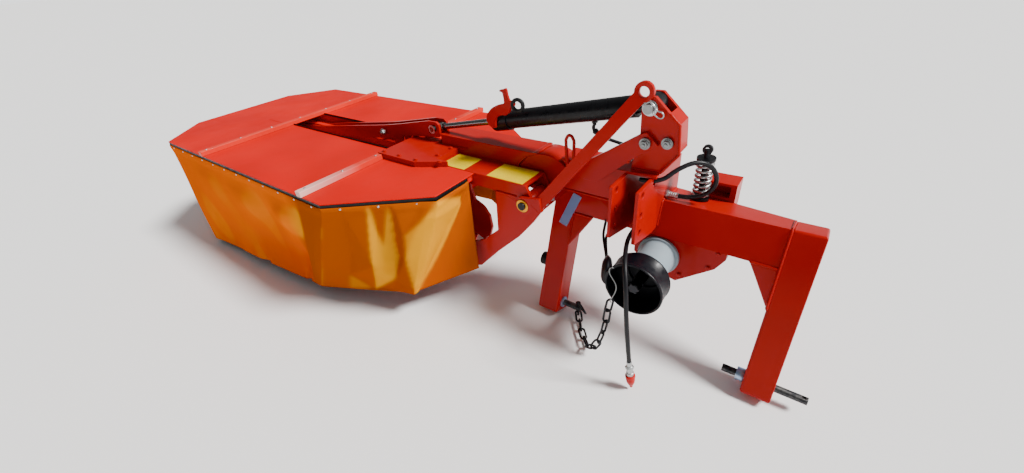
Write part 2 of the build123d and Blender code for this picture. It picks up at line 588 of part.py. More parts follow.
def brace_upper():
    """Slanting brace: its ring at the mast's top, its foot lug round the fold pin's front end."""
    eye, foot = Vector(864, MAST_Y0 - 6, 824), Vector(597, -72, 480)
    along = foot - eye
    section_plane = Plane(origin=eye, x_dir=along.cross(Vector(0, 1, 0)), z_dir=along)
    low = (Align.CENTER, Align.CENTER, Align.MIN)
    bar = section_plane * Box(36, PLATE - 1, along.length + 8, align=low)
    ring = pin_y(eye.X, eye.Z, MAST_Y0 - PLATE, MAST_Y0, 26)
    lug_y = (CARRY_Y0 - AIR - PLATE, CARRY_Y0 - AIR)
    lug = plate_xz([(FOLD_X, FOLD_Z + 28), (foot.X + 14, foot.Z + 34), (foot.X + 22, foot.Z - 10), (FOLD_X, FOLD_Z - 28)], *lug_y)
    lug += pin_y(FOLD_X, FOLD_Z, *lug_y, 28)
    shape = bar + ring + lug
    shape -= block((500, 900), (MAST_Y0, MAST_Y0 + 20), (700, 900))
    shape -= block((500, 700), (CARRY_Y0 - AIR, CARRY_Y0 + 2), (440, 500))
    shape -= pin_y(eye.X, eye.Z, MAST_Y0 - 30, MAST_Y0 + 10, 14)
    return shape - pin_y(FOLD_X, FOLD_Z, lug_y[0] - 5, lug_y[1] + 5, FOLD_PIN_R + RUN)


def brace_lower():
    outline = [(864, 716), (880, 722), (913, 691), (844, 640), (745, 550), (690, 550), (668, 585), (771, 652)]
    plate = plate_xz(outline, MAST_Y0 - PLATE, MAST_Y0)
    x, z = MAST_BOLTS[0]
    return plate - pin_y(x, z, MAST_Y0 - PLATE, MAST_Y0, BOLT_R + SEAT)


def stub_box():
    """The rear box's fixed half: a round end about the fold axis, and a top cut clear of the folded half."""
    y = (BOX_Y0 + AIR, BOX_Y1)
    knuckle = pin_y(FOLD_X, FOLD_Z, *y, KNUCKLE_R)
    knuckle &= block((FOLD_X - KNUCKLE_R, FOLD_X + KNUCKLE_R), y, (BOX_Z0, BOX_Z1))
    box = block((FOLD_X, CLEVIS_XS[0]), y, (BOX_Z0, BOX_Z1))
    folded = block((-2 * KNUCKLE_R, 0), y, (0, KNUCKLE_R + AIR))
    shape = knuckle + (box - Pos(FOLD_X, 0, FOLD_Z) * Rot(0, FOLD_UP, 0) * folded)
    return shape - pin_y(FOLD_X, FOLD_Z, *y, SLEEVE_R + SEAT)


def hinge_sleeve():
    """Two sleeves round the fold pin, on a web welded to the left leg's front."""
    web_x = (FOLD_X + LUG_R + 9, FOLD_X + LUG_R + 21)
    spans = [(CARRY_Y0 + PLATE + AIR, CARRY_Y1 - PLATE - AIR), (CARRY_Y1 + AIR, front_y(FOLD_Z - SLEEVE_R))]
    web_low = FOLD_Z - SLEEVE_R
    web = plate_yz([(spans[0][0], web_low), (front_y(web_low), web_low), (TOP_Y, TOP_Z), (spans[0][0], TOP_Z)], *web_x)
    shape = web
    for y0, y1 in spans:
        shape += pin_y(FOLD_X, FOLD_Z, y0, y1, SLEEVE_R)
        for y in (y0 + 4, y1 - 16):
            shape += block((FOLD_X, web_x[0]), (y, y + 12), (FOLD_Z - 20, FOLD_Z + 12))
    return shape - pin_y(FOLD_X, FOLD_Z, spans[0][0] - 5, spans[1][1] + 5, FOLD_PIN_R + RUN)


def hinge_pin():
    y0, y1 = CARRY_Y0 - AIR - PLATE, front_y(FOLD_Z - SLEEVE_R)
    return pin_y(FOLD_X, FOLD_Z, y0 - 8, y1 - 4, FOLD_PIN_R)


def loop_handle():
    """A bent round bar on the box's front, for the rope."""
    r = 5.0
    y = BOX_Y0 + AIR - r
    path = FilletPolyline((636, y, 560), (632, y, 660), (646, y, 687), (660, y, 660), (656, y, 560), radius=10)
    return sweep(Plane(origin=path @ 0, z_dir=path % 0) * Circle(r), path=path)


SPRING_X, SPRING_Y = 998.0, 205.0


def beam_top(y):
    return TOP_Z - (y - TOP_Y) * FALL_TAN


def spring():
    """Coil spring round its rod, seven turns."""
    coil_r, wire_r, turns = 21.0, 3.4, 7
    z0 = beam_top(SPRING_Y - 24) + 8
    pitch = (603 - z0 - 2 * wire_r) / turns
    helix = Edge.make_helix(pitch, pitch * turns, coil_r, center=(SPRING_X, SPRING_Y, z0 + wire_r))
    return sweep(Plane(origin=helix @ 0, z_dir=helix % 0) * Circle(wire_r), path=helix)


def spring_rod():
    """The rod inside the spring, its seat, its cap and the ring on top."""
    z0 = beam_top(SPRING_Y - 24)
    shape = pos_rod(SPRING_X, SPRING_Y, 440, 634, 8) + pos_rod(SPRING_X, SPRING_Y, 440, z0 + 7.7, 26)
    shape += pos_rod(SPRING_X, SPRING_Y, 603.3, 611, 26)
    shape += pin_y(SPRING_X, 634, SPRING_Y - 5, SPRING_Y + 5, 14) - pin_y(SPRING_X, 634, SPRING_Y - 6, SPRING_Y + 6, 7)
    return shape - crossbeam()


def pos_rod(x, y, z0, z1, radius):
    return rod((x, y, z0), (x, y, z1), radius)


def rear_bracket():
    shape = block((1005, 1088), (236, 305), (438, 526)) - crossbeam()
    return shape - block((1013, 1072), (235, 270), (482, 518))


def drive_guard():
    # measured from the input shaft's axis
    outline = [(-81, 75), (-81, -15), (-13, -64), (60, -83), (165, 3), (189, 45), (189, 75)]
    return plate_xz([(PTO_X + x, PTO_Z + z) for x, z in outline], GUARD_Y0, GUARD_Y1) - crossbeam()


def drive_housing():
    """The grey bearing housing of the input shaft, on the guard's front."""
    length = GUARD_Y0 - BELL_Y1
    flange = HOUSING_R + 12
    profile = [(PTO_R + RUN, 0), (HOUSING_R, 0), (HOUSING_R + 4, length - 14), (flange, length - 12),
               (flange, length), (PTO_R + RUN, length)]
    return along_y(turned(profile, (0, 0)), PTO_X, BELL_Y1, PTO_Z)


def pto_bell():
    """The rubber bell round the input shaft, open to the front."""
    length = BELL_Y1 - BELL_Y0
    profile = [(BELL_R - 4, 0), (BELL_R, 0), (BELL_R - 6, length - 35), (HOUSING_R, length),
               (PTO_R + 8, length), (PTO_R + 8, length - 4), (HOUSING_R - 4, length - 4), (BELL_R - 11, length - 37)]
    return along_y(turned(profile, (0, 0)), PTO_X, BELL_Y0, PTO_Z)


def pto_shaft():
    """The input stub shaft with its locking groove."""
    shape = pin_y(PTO_X, PTO_Z, BELL_Y0 + 20, GUARD_Y0 - 6, PTO_R)
    groove = pin_y(PTO_X, PTO_Z, BELL_Y0 + 45, BELL_Y0 + 52, PTO_R + 3)
    return shape - (groove - pin_y(PTO_X, PTO_Z, BELL_Y0 + 45, BELL_Y0 + 52, PTO_R - 3))


def bump_stop():
    """Rubber buffer on the left leg's outer face."""
    y, z = 50.0, 185.0
    return rod((LEG_L_X - 25, y, z), (LEG_L_X, y, z), 24)


# Chain from the left hitch pin, over the ground, to the bell

CHAIN_R = 3.0
CHAIN_ROUTE = [(LINCH_X - 2.9, HITCH_Y + 3.9, 21), (LINCH_X + 19, -18, 15), (LINCH_X + 54, -64, 13),
               (LINCH_X + 89, -100, 13), (LINCH_X + 118, -124, 26), (PTO_X - 95, -130, 55),
               (PTO_X - 79, -122, 100), (PTO_X - 73, -106, 145), (PTO_X - 73, -90, 185), (PTO_X - 74, -74, 232)]
LINK_LENGTH, LINK_WIDTH = 44.0, 23.0


def chain_link():
    """One oval link about the origin: two straight bars and two half rings."""
    bend = LINK_WIDTH / 2 - CHAIN_R
    half = LINK_LENGTH / 2 - LINK_WIDTH / 2
    ring = Torus(bend, CHAIN_R)
    big = 3 * LINK_WIDTH
    right = Pos(half, 0, 0) * (ring & Pos(big / 2, 0, 0) * Box(big, big, big))
    left = Pos(-half, 0, 0) * (ring & Pos(-big / 2, 0, 0) * Box(big, big, big))
    bars = [rod((-half, s * bend, 0), (half, s * bend, 0), CHAIN_R) for s in (-1, 1)]
    return right + left + bars[0] + bars[1]


def chain_stations():
    """Joints at one pitch along the route."""
    pitch = LINK_LENGTH - 4 * CHAIN_R - 0.4
    route = [Vector(*p) for p in CHAIN_ROUTE]
    stations, here, leg_index = [route[0]], route[0], 1
    while leg_index < len(route):
        target = route[leg_index]
        if (target - here).length < pitch:
            leg_index += 1
            continue
        start = route[leg_index - 1]
        low, high = 0.0, 1.0
        for _ in range(40):
            middle = (low + high) / 2
            far = (start + (target - start) * middle - here).length > pitch
            low, high = (low, middle) if far and middle > 0 else (middle, high)
        here = start + (target - start) * high
        stations.append(here)
    return stations


def chain():
    stations = chain_stations()
    link = chain_link()
    links = []
    for index, (first, second) in enumerate(zip(stations, stations[1:])):
        along = second - first
        flat = along.cross(Vector(0, 0, 1))
        up = flat if index % 2 else flat.cross(along)
        place = Plane(origin=(first + second) * 0.5, x_dir=along, z_dir=up)
        links.append(place * link)
    return links


# Hoses

HOSE_HOLE = (45.0, 585.0)
HOSE_LOOP = [(871, 45, 585), (925, 45, 585), (958, 82, 618), (996, 118, 634), (1032, 145, 614),
             (1048, 158, 571), (1034, 163, 528), (998, 160, 504), (955, 152, 500), (921, 152, 500)]
HOSE_DROP = [(871.5, 94, 430), (871.5, 30, 430), (884, -50, 438), (915, -130, 432), (942, -176, 385),
             (954, -190, 310), (964, -190, 210), (974, -184, 110)]
HOSE_LIFT = [(812, 130, 600), (812, 130, 620), (795, 124, 642), (762, 112, 653), (730, 98, 666), (706, 86, 689)]
LIFT_HOSE_D = 10.0


def hose(route, diameter):
    """A tube on straight runs and tangent arcs, each arc as large as its two runs allow."""
    points = [Vector(*p) for p in route]
    radii = []
    for before, corner, after in zip(points, points[1:], points[2:]):
        turn = math.radians((corner - before).get_angle(after - corner))
        shorter = min((corner - before).length, (after - corner).length)
        radii.append(0.45 * shorter / math.tan(turn / 2))
    print("hose radii over diameter", [round(r / diameter, 1) for r in radii])
    path = FilletPolyline(*points, radius=radii)
    tube = sweep(Plane(origin=path @ 0, z_dir=path % 0) * Circle(diameter / 2), path=path)
    print("volume share", round(tube.volume / (path.length * math.pi * diameter ** 2 / 4), 4), "length", round(path.length))
    return tube


def hose_glands():
    """Three short glands that the hoses come out of."""
    loop = rod((CLEVIS_XS[1] + CLEVIS_T, *HOSE_LOOP[-1][1:]), HOSE_LOOP[-1], 12)
    drop = rod(HOSE_DROP[0], Vector(*HOSE_DROP[0]) + Vector(0, 30, 0), 12) - crossbeam()
    lift = rod((*HOSE_LIFT[0][:2], BOX_Z1), HOSE_LIFT[0], 11)
    return [loop, drop, lift]


def hose_coupler():
    """The quick coupler with its dust cap, at the hose's lower end."""
    top = Vector(*HOSE_DROP[-1])
    along = (top - Vector(*HOSE_DROP[-2])).normalized()
    spots = [(0, 26, 10), (26, 50, 14), (50, 86, 16), (86, 96, 9)]
    shape = None
    for start, end, radius in spots:
        piece = rod(top + along * start, top + along * end, radius)
        shape = piece if shape is None else shape + piece
    return shape


NODES = {
    "hood": hood, "hood_bars": hood_bars, "hood_brackets": hood_brackets, "edge_strip": edge_strip,
    "skirt": skirt, "main_beam": main_beam, "gear_cover": gear_cover, "carrying_beam": carrying_beam,
    "rear_box": rear_box, "curved_arm": curved_arm, "inner_plate": inner_plate, "spindles": spindles,
    "lift_lever": lift_lever, "hinge_pin": hinge_pin,
    "drum_outer": lambda: drum(0), "drum_inner": lambda: drum(1),
    "knives_outer": lambda: knives(0), "knives_inner": lambda: knives(1),
    "dish_outer": lambda: dish(0), "dish_inner": lambda: dish(1),
    "lift_barrel": lift_barrel, "latch_hook": latch_hook, "lift_rod": lift_rod,
    "crossbeam": crossbeam, "leg_left": lambda: leg(LEG_L_X, 1), "leg_right": lambda: leg(LEG_R_X, -1),
    "hitch_pin_left": hitch_pin_left, "linch_pin": linch_pin, "hitch_pin_right": hitch_pin_right,
    "clevis_plates": clevis_plates, "clevis_bridge": clevis_bridge, "mast": mast, "mast_pins": mast_pins,
    "brace_upper": brace_upper, "brace_lower": brace_lower, "stub_box": stub_box,
    "hinge_sleeve": hinge_sleeve, "loop_handle": loop_handle, "spring": spring, "spring_rod": spring_rod,
    "rear_bracket": rear_bracket, "drive_guard": drive_guard, "drive_housing": drive_housing,
    "pto_bell": pto_bell, "pto_shaft": pto_shaft, "bump_stop": bump_stop, "chain": chain,
    "hose_loop": lambda: hose(HOSE_LOOP, HOSE_D), "hose_drop": lambda: hose(HOSE_DROP, HOSE_D),
    "hose_lift": lambda: hose(HOSE_LIFT, LIFT_HOSE_D), "hose_glands": hose_glands,
    "hose_coupler": hose_coupler,
}

os.makedirs("parts", exist_ok=True)
for name, make in NODES.items():
    write(make(), name)
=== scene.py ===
"""Finish of a rear-mounted drum mower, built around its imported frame."""

import math

import bmesh
import bpy
import numpy as np
from mathutils import Matrix, Vector
from mathutils.geometry import delaunay_2d_cdt


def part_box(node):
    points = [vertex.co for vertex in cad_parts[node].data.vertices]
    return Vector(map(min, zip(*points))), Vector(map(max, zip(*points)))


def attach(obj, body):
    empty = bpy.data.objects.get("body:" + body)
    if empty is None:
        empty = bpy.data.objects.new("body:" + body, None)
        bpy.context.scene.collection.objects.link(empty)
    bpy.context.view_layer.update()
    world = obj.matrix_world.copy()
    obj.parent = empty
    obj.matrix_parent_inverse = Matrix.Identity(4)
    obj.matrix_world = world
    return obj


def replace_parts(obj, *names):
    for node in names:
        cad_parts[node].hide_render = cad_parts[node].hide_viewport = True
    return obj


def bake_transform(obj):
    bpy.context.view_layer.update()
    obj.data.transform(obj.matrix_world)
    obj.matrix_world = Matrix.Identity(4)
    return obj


bl_info = {
    "name": "Drum Mower Finish",
    "version": (1, 0, 0),
    "blender": (4, 5, 0),
    "location": "3D View > Sidebar > Mower",
    "description": "Skirt, hoses, fasteners, welds, plates and paint for a drum mower",
    "category": "Add Mesh",
}

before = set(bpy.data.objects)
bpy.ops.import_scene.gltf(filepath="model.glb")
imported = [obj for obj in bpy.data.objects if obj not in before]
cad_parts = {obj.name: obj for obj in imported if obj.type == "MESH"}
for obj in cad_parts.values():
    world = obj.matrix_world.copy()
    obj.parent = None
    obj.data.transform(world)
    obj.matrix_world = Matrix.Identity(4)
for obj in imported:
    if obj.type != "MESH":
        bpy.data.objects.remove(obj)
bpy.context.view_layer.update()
MM = 0.001


def low(node):
    """Lowest corner of a frame node, in metres."""
    return np.array(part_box(node)[0])


def high(node):
    """Highest corner of a frame node, in metres."""
    return np.array(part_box(node)[1])


HOOD_TOP, COVER_TOP, CARRY_TOP = high("hood")[2], high("gear_cover")[2], high("carrying_beam")[2]
SHAFT_X, _, SHAFT_Z = (low("pto_shaft") + high("pto_shaft")) / 2
FRONT, BACK, LEFT, RIGHT, UP = (0, -1, 0), (0, 1, 0), (-1, 0, 0), (1, 0, 0), (0, 0, 1)

# The hood's eight corners in plan, front long side first, as in the frame
HOOD_OUTLINE = np.array([
    (-1.225, -0.459), (0.044, -0.459), (0.340, -0.242), (0.340, 0.242),
    (0.044, 0.459), (-1.225, 0.459), (-1.410, 0.274), (-1.410, -0.253),
])
STRIP_TOP = HOOD_TOP - 4 * MM
STRIP_LOW = STRIP_TOP - 25 * MM
CLOTH_TOP = STRIP_TOP - 11 * MM

# Stretches along X of the hitch pins' zinc collars
LEG_LEFT_FACE, LEG_RIGHT_FACE = low("leg_left")[0], high("leg_right")[0]
COLLAR_ZONES = [(LEG_LEFT_FACE + 79 * MM, LEG_LEFT_FACE + 85 * MM),
                (LEG_RIGHT_FACE - 101 * MM, LEG_RIGHT_FACE - 79 * MM)]

# Hoses: the same points as the frame's tubes
HOSE_LOOP = np.array([
    (871, 45, 585), (925, 45, 585), (958, 82, 618), (996, 118, 634), (1032, 145, 614),
    (1048, 158, 571), (1034, 163, 528), (998, 160, 504), (955, 152, 500), (921, 152, 500)]) * MM
HOSE_DROP = np.array([
    (871.5, 94, 430), (871.5, 30, 430), (884, -50, 438), (915, -130, 432), (942, -176, 385),
    (954, -190, 310), (964, -190, 210), (974, -184, 110)]) * MM
HOSE_LIFT = np.array([
    (812, 130, 600), (812, 130, 620), (795, 124, 642), (762, 112, 653), (730, 98, 666), (706, 86, 689)]) * MM
LIFT_PORT = np.array((709.7, 85, 709)) * MM

# Axis that the cutter folds on, as (x, z), and the air between the rear box's two halves
FOLD_AXIS = (0.547, 0.475)
KNUCKLE_GAP = 6 * MM

# Lift cylinder: the pins at its two ends, and the way from the barrel's to the rod's
BARREL_PIN = np.array((879, 85, 783)) * MM
ROD_EYE = np.array((38, 85, 603.5)) * MM
ROD_WAY = (ROD_EYE - BARREL_PIN) / np.linalg.norm(ROD_EYE - BARREL_PIN)

# Chain: its route from the linch pin over the ground to the bell, and its links
CHAIN_ROUTE = np.array([
    (694, 12, 23), (716, -18, 17), (751, -64, 15.5), (786, -100, 15.5), (815, -124, 27),
    (836, -130, 55), (852, -122, 100), (858, -108, 145), (858, -98, 190), (864, -92, 240)]) * MM
LINK_LENGTH, LINK_WIDTH, LINK_WIRE = 55 * MM, 27 * MM, 3.5 * MM


# Sizes and colours that a user may change

class MowerSizes(bpy.types.PropertyGroup):
    rim_bolt_pitch: bpy.props.FloatProperty(
        name="Rim bolt pitch", description="Distance between the bolts of the black strip",
        default=0.105, unit="LENGTH")
    weld_radius: bpy.props.FloatProperty(
        name="Weld radius", description="Radius of a weld bead", default=0.0035, unit="LENGTH")
    hose_diameter: bpy.props.FloatProperty(
        name="Hose diameter", description="Outside diameter of the oil hoses", default=0.013, unit="LENGTH")
    lift_hose_diameter: bpy.props.FloatProperty(
        name="Lift hose diameter", description="Outside diameter of the lift cylinder's hose",
        default=0.010, unit="LENGTH")


class MowerColours(bpy.types.PropertyGroup):
    red: bpy.props.FloatVectorProperty(
        name="Red paint", description="Paint of the steel work", subtype="COLOR",
        default=(0.42, 0.003, 0.0012))
    cloth: bpy.props.FloatVectorProperty(
        name="Cloth", description="Coated cloth of the skirt", subtype="COLOR", default=(0.84, 0.40, 0.0))
    panel: bpy.props.FloatVectorProperty(
        name="Reflector", description="Reflecting panels on the front beam", subtype="COLOR",
        default=(0.84, 0.62, 0.0))
    label: bpy.props.FloatVectorProperty(
        name="Blank plate", description="Blank plate on the left leg", subtype="COLOR",
        default=(0.20, 0.31, 0.56))


def sizes():
    return bpy.context.scene.mower_sizes


def colours():
    return bpy.context.scene.mower_colours


# Shapes as whole arrays

def frames_along(path):
    """At each point of a path: its tangent, and two normals carried along by the smallest turn."""
    tangents = np.gradient(path, axis=0)
    tangents /= np.linalg.norm(tangents, axis=1)[:, None]
    side = np.cross(tangents[0], (0.0, 0.0, 1.0))
    if np.linalg.norm(side) < 1e-3:
        side = np.array((1.0, 0.0, 0.0))
    sides = []
    for tangent in tangents:
        side = side - tangent * side.dot(tangent)
        side = side / np.linalg.norm(side)
        sides.append(side)
    sides = np.array(sides)
    return tangents, sides, np.cross(tangents, sides)


def carried(path, section):
    """A closed section of (side, up) points, one for each path point or one for all, carried along a path."""
    _, sides, ups = frames_along(path)
    section = np.broadcast_to(section, (len(path),) + section.shape[-2:])
    return path[:, None] + section[..., 0:1] * sides[:, None] + section[..., 1:2] * ups[:, None]


def circle(radius, segments=16):
    angle = np.linspace(0, 2 * np.pi, segments, endpoint=False)
    return np.stack([radius * np.cos(angle), radius * np.sin(angle)], -1)


def turned(profile, segments=48):
    """Each (radius, height) point of the profile turned round the height axis."""
    profile = np.asarray(profile, float)
    ring = circle(1.0, segments)
    points = np.empty((len(profile), segments, 3))
    points[..., :2] = profile[:, None, :1] * ring[None]
    points[..., 2] = profile[:, 1:2]
    return points


def stood(points, place, axis):
    """Points about the origin, moved to a place with their height axis along the given one."""
    axis = np.asarray(axis, float) / np.linalg.norm(axis)
    helper = np.array((0.0, 0.0, 1.0)) if abs(axis[2]) < 0.9 else np.array((1.0, 0.0, 0.0))
    side = np.cross(helper, axis)
    side /= np.linalg.norm(side)
    basis = np.stack([side, np.cross(axis, side), axis])
    return points @ basis + np.asarray(place, float)


def bend(before, corner, after, share, steps):
    """A quadratic curve round a corner, between points at a share of the runs to its neighbours."""
    t = np.linspace(0, 1, steps)[:, None]
    start, end = corner + (before - corner) * share, corner + (after - corner) * share
    return (1 - t) ** 2 * start + 2 * t * (1 - t) * corner + t ** 2 * end


def smooth(points, pitch):
    """A path with its corners bent over half of each run, resampled at an even distance."""
    bends = [bend(*corner, 0.5, 6) for corner in zip(points, points[1:], points[2:])]
    return spaced(np.concatenate([points[:1], *bends, points[-1:]]), pitch)


def rounded_outline(outline):
    """A closed outline with its corners bent over about a third of each edge."""
    corners = zip(np.roll(outline, 1, 0), outline, np.roll(outline, -1, 0))
    return np.concatenate([bend(*corner, 0.32, 4) for corner in corners])


def spaced(path, pitch):
    """A path resampled at an even distance along it."""
    steps = np.linalg.norm(np.diff(path, axis=0), axis=1)
    along = np.concatenate([[0.0], np.cumsum(steps)])
    count = max(2, int(round(along[-1] / pitch)) + 1)
    return at_places(np.linspace(0, along[-1], count), along, path)


def at_places(places, along, points):
    """Points of a line at some of its places, between known points at the places along it."""
    return np.stack([np.interp(places, along, points[:, k]) for k in range(3)], -1)


class Shape:
    """Grids of points gathered into one mesh."""

    def __init__(self):
        self.points, self.faces, self.count = [], [], 0

    def grid(self, points, close_rows=False, close_columns=False, ends=False):
        """Quads between neighbouring points; a closed direction joins its last line to its first."""
        rows, columns = points.shape[:2]
        i = np.arange(rows if close_rows else rows - 1)[:, None]
        j = np.arange(columns if close_columns else columns - 1)[None, :]
        i2, j2 = (i + 1) % rows, (j + 1) % columns
        quads = np.broadcast_arrays(i * columns + j, i * columns + j2, i2 * columns + j2, i2 * columns + j)
        self.faces += (np.stack(quads, -1).reshape(-1, 4) + self.count).tolist()
        if ends:
            first = list(range(self.count, self.count + columns))
            last = [index + (rows - 1) * columns for index in first]
            self.faces += [first, last[::-1]]
        self.points.append(points.reshape(-1, 3))
        self.count += rows * columns
        return self

    def many(self, grid, places, axes, ends=True):
        """The same turned grid stood at each of many places."""
        places = np.atleast_2d(places)
        for place, axis in zip(places, np.broadcast_to(np.asarray(axes, float), places.shape)):
            self.grid(stood(grid, place, axis), close_columns=True, ends=ends)
        return self

    def tube(self, path, section):
        """A closed section carried along a path, with shut ends."""
        return self.grid(carried(path, section), close_columns=True, ends=True)

    def plate(self, outline, thickness, place, across, up):
        """A flat outline of (across, up) points with a thickness along their cross product."""
        flat = np.asarray(place, float) + outline[:, :1] * across + outline[:, 1:] * up
        faces = np.stack([flat, flat + np.cross(across, up) * thickness])
        return self.grid(faces, close_columns=True, ends=True)

    def made(self, name, body, look, crease=30, bevel=0.0, closed=True, slot=None):
        """The mesh as a piece on a body, shaded, bevelled (mm) and painted; its slot argument is not used."""
        mesh = bpy.data.meshes.new(name)
        mesh.from_pydata(np.concatenate(self.points).tolist(), [], self.faces)
        form = bmesh.new()
        form.from_mesh(mesh)
        bmesh.ops.remove_doubles(form, verts=form.verts, dist=1e-6)
        if closed:
            bmesh.ops.recalc_face_normals(form, faces=form.faces)
        form.to_mesh(mesh)
        form.free()
        mesh.shade_smooth()
        mesh.set_sharp_from_angle(angle=math.radians(crease))
        piece = bpy.data.objects.new(name, mesh)
        bpy.context.scene.collection.objects.link(piece)
        if bevel:
            bevelled(piece, bevel, 40)
        material, own_slot = finish(look)
        mesh.materials.append(material)
        if body:
            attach(piece, body)
        return piece


def bevelled(piece, width, angle):
    """A bevel of a width in mm on the edges that turn by more than the angle in degrees."""
    edge = piece.modifiers.new("Bevel", "BEVEL")
    edge.width, edge.segments, edge.limit_method = width * MM, 2, "ANGLE"
    edge.angle_limit, edge.harden_normals = math.radians(angle), True
    return edge


# Fasteners and welds

def hexagon(across, height):
    """Twelve-sided rings: a hexagon for the flats, a circle for the chamfered top, and a pole."""
    angle = np.arange(12) * np.pi / 6
    flats = np.where(np.arange(12) % 2 == 0, across / 2 / math.cos(np.pi / 6), across / 2)
    rings = [(flats, 0.0), (flats, height * 0.85), (np.full(12, across * 0.47), height),
             (np.full(12, across * 0.22), height)]
    return np.stack([np.stack([r * np.cos(angle), r * np.sin(angle), np.full(12, h)], -1) for r, h in rings])


def bolts(name, body, across, look, shank, heads):
    """Washers and hexagon heads of one size, in mm, with domed shank ends where they show.

    The heads are pairs of a place and the way that the head faces."""
    washer = turned(np.array([(0.62, 0.0), (0.66, 0.03), (0.66, 0.12), (0.60, 0.15)]) * across * MM, 24)
    head = hexagon(across * MM, across * 0.42 * MM) + (0, 0, across * 0.14 * MM)
    tip = turned(np.array([(0.28, 0.0), (0.28, 0.66), (0.2, 0.72), (0.0, 0.73)]) * across * MM, 12)
    places, axes = (np.array(values, float) for values in zip(*heads))
    shape = Shape()
    for grid in (washer, head, tip) if shank else (washer, head):
        shape.many(grid, places * MM, axes)
    return shape.made(name, body, look, crease=28)


def welds(name, body, lines):
    """A bead along each line: a round section whose radius ripples along it and fades at its ends."""
    shape = Shape()
    for line in lines:
        path = spaced(np.array(line) * MM, 1.6 * MM)
        steps = np.arange(len(path))
        ripple = 1 + 0.13 * np.abs(np.sin(steps * np.pi / 3))
        fade = np.minimum(1, (1 + np.minimum(steps, steps[::-1])) / 4)
        shape.tube(path, circle(1.0, 8)[None] * (sizes().weld_radius * ripple * fade)[:, None, None])
    return shape.made(name, body, "red", crease=60)


# Finishes

def wired(tree, node, inputs):
    """Each input of a node linked where its value is a socket, and set where it is a plain value."""
    for key, value in inputs.items():
        if isinstance(value, bpy.types.NodeSocket):
            tree.links.new(value, node.inputs[key])
        else:
            node.inputs[key].default_value = value
    return node


def add(tree, kind, inputs=None, **settings):
    """A node with its settings and inputs."""
    node = tree.nodes.new("ShaderNode" + kind)
    for key, value in settings.items():
        setattr(node, key, value)
    return wired(tree, node, inputs or {})


def new_material(name):
    material = bpy.data.materials.new(name)
    material.use_nodes = True
    return material, material.node_tree


def shaded(material, inputs):
    """The material with its shader's inputs linked or set."""
    wired(material.node_tree, material.node_tree.nodes["Principled BSDF"], inputs)
    return material


def own_place(tree):
    return add(tree, "TexCoord").outputs["Object"]


def parts(tree, vector):
    """X, Y and Z of a vector."""
    return add(tree, "SeparateXYZ", {0: vector}).outputs


def combined(tree, operation, first, second):
    return add(tree, "Math", {0: first, 1: second}, operation=operation).outputs[0]


def times(tree, first, second):
    return combined(tree, "MULTIPLY", first, second)


def mixed(tree, factor, first, second):
    return add(tree, "Mix", {0: factor, 6: first, 7: second}, data_type="RGBA").outputs[2]


def ranged(tree, value, start, end, to_start=0.0, to_end=1.0):
    """A value between start and end spread over another range, and held at its ends."""
    inputs = {"Value": value, "From Min": start, "From Max": end, "To Min": to_start, "To Max": to_end}
    return add(tree, "MapRange", inputs).outputs["Result"]


def noise(tree, scale, detail, roughness=0.5, vector=None):
    inputs = {"Scale": scale, "Detail": detail, "Roughness": roughness, "Vector": vector or own_place(tree)}
    return add(tree, "TexNoise", inputs).outputs["Fac"]


def patches(tree, scale, detail, roughness, start, end, to_start=0.0, to_end=1.0):
    """Noise whose values between start and end are spread over another range."""
    return ranged(tree, noise(tree, scale, detail, roughness), start, end, to_start, to_end)


def bumped(tree, height, strength, distance, normal=None):
    """A bump of a height, on top of another one where it is given."""
    inputs = {"Height": height, "Strength": strength, "Distance": distance}
    if normal:
        inputs["Normal"] = normal
    return add(tree, "Bump", inputs).outputs["Normal"]


def rgba(colour, factors=(1.0, 1.0, 1.0)):
    """A colour with its channels times the factors, as a socket takes it."""
    return tuple(min(1.0, value * factor) for value, factor in zip(colour, factors)) + (1.0,)


def paint_finish(name, colour, dust=0.06, gloss=0.27, shine=0.12):
    """Sprayed paint: colour drift, orange peel, low waves, dust on what faces up, and sparse chips; where the
    dust is set heavy, as on the bars, it is a painted highlight.
    """
    material, tree = new_material(name)
    drift = patches(tree, 3.5, 3, 0.5, 0.35, 0.7)
    base = mixed(tree, drift, rgba(colour), rgba(colour, (0.82, 0.6, 0.6)))
    upward = parts(tree, add(tree, "NewGeometry").outputs["Normal"])["Z"]
    cloud = patches(tree, 14, 8, 0.62, 0.42, 0.75)
    # Dust on what faces up; set heavy, it is a painted highlight on the tops.
    dust_and_sheen = times(tree, times(tree, ranged(tree, upward, 0.3, 1.0), cloud), dust)
    base = mixed(tree, dust_and_sheen, base, (0.72, 0.14, 0.09, 1.0))
    chips = patches(tree, 120, 3, 0.7, 0.735, 0.75, 0.0, 0.8)
    rough = patches(tree, 9, 6, 0.6, 0.3, 0.8, gloss, gloss + 0.14)
    peel = bumped(tree, noise(tree, 420, 2), 0.10, 0.0006)
    return shaded(material, {
        "Base Color": mixed(tree, chips, base, (0.08, 0.02, 0.015, 1.0)),
        "Roughness": combined(tree, "ADD", rough, dust_and_sheen),
        "Normal": bumped(tree, noise(tree, 5, 2), 0.15, 0.01, peel),
        "Specular IOR Level": shine, "Coat Weight": shine * 0.4, "Coat Roughness": 0.08})


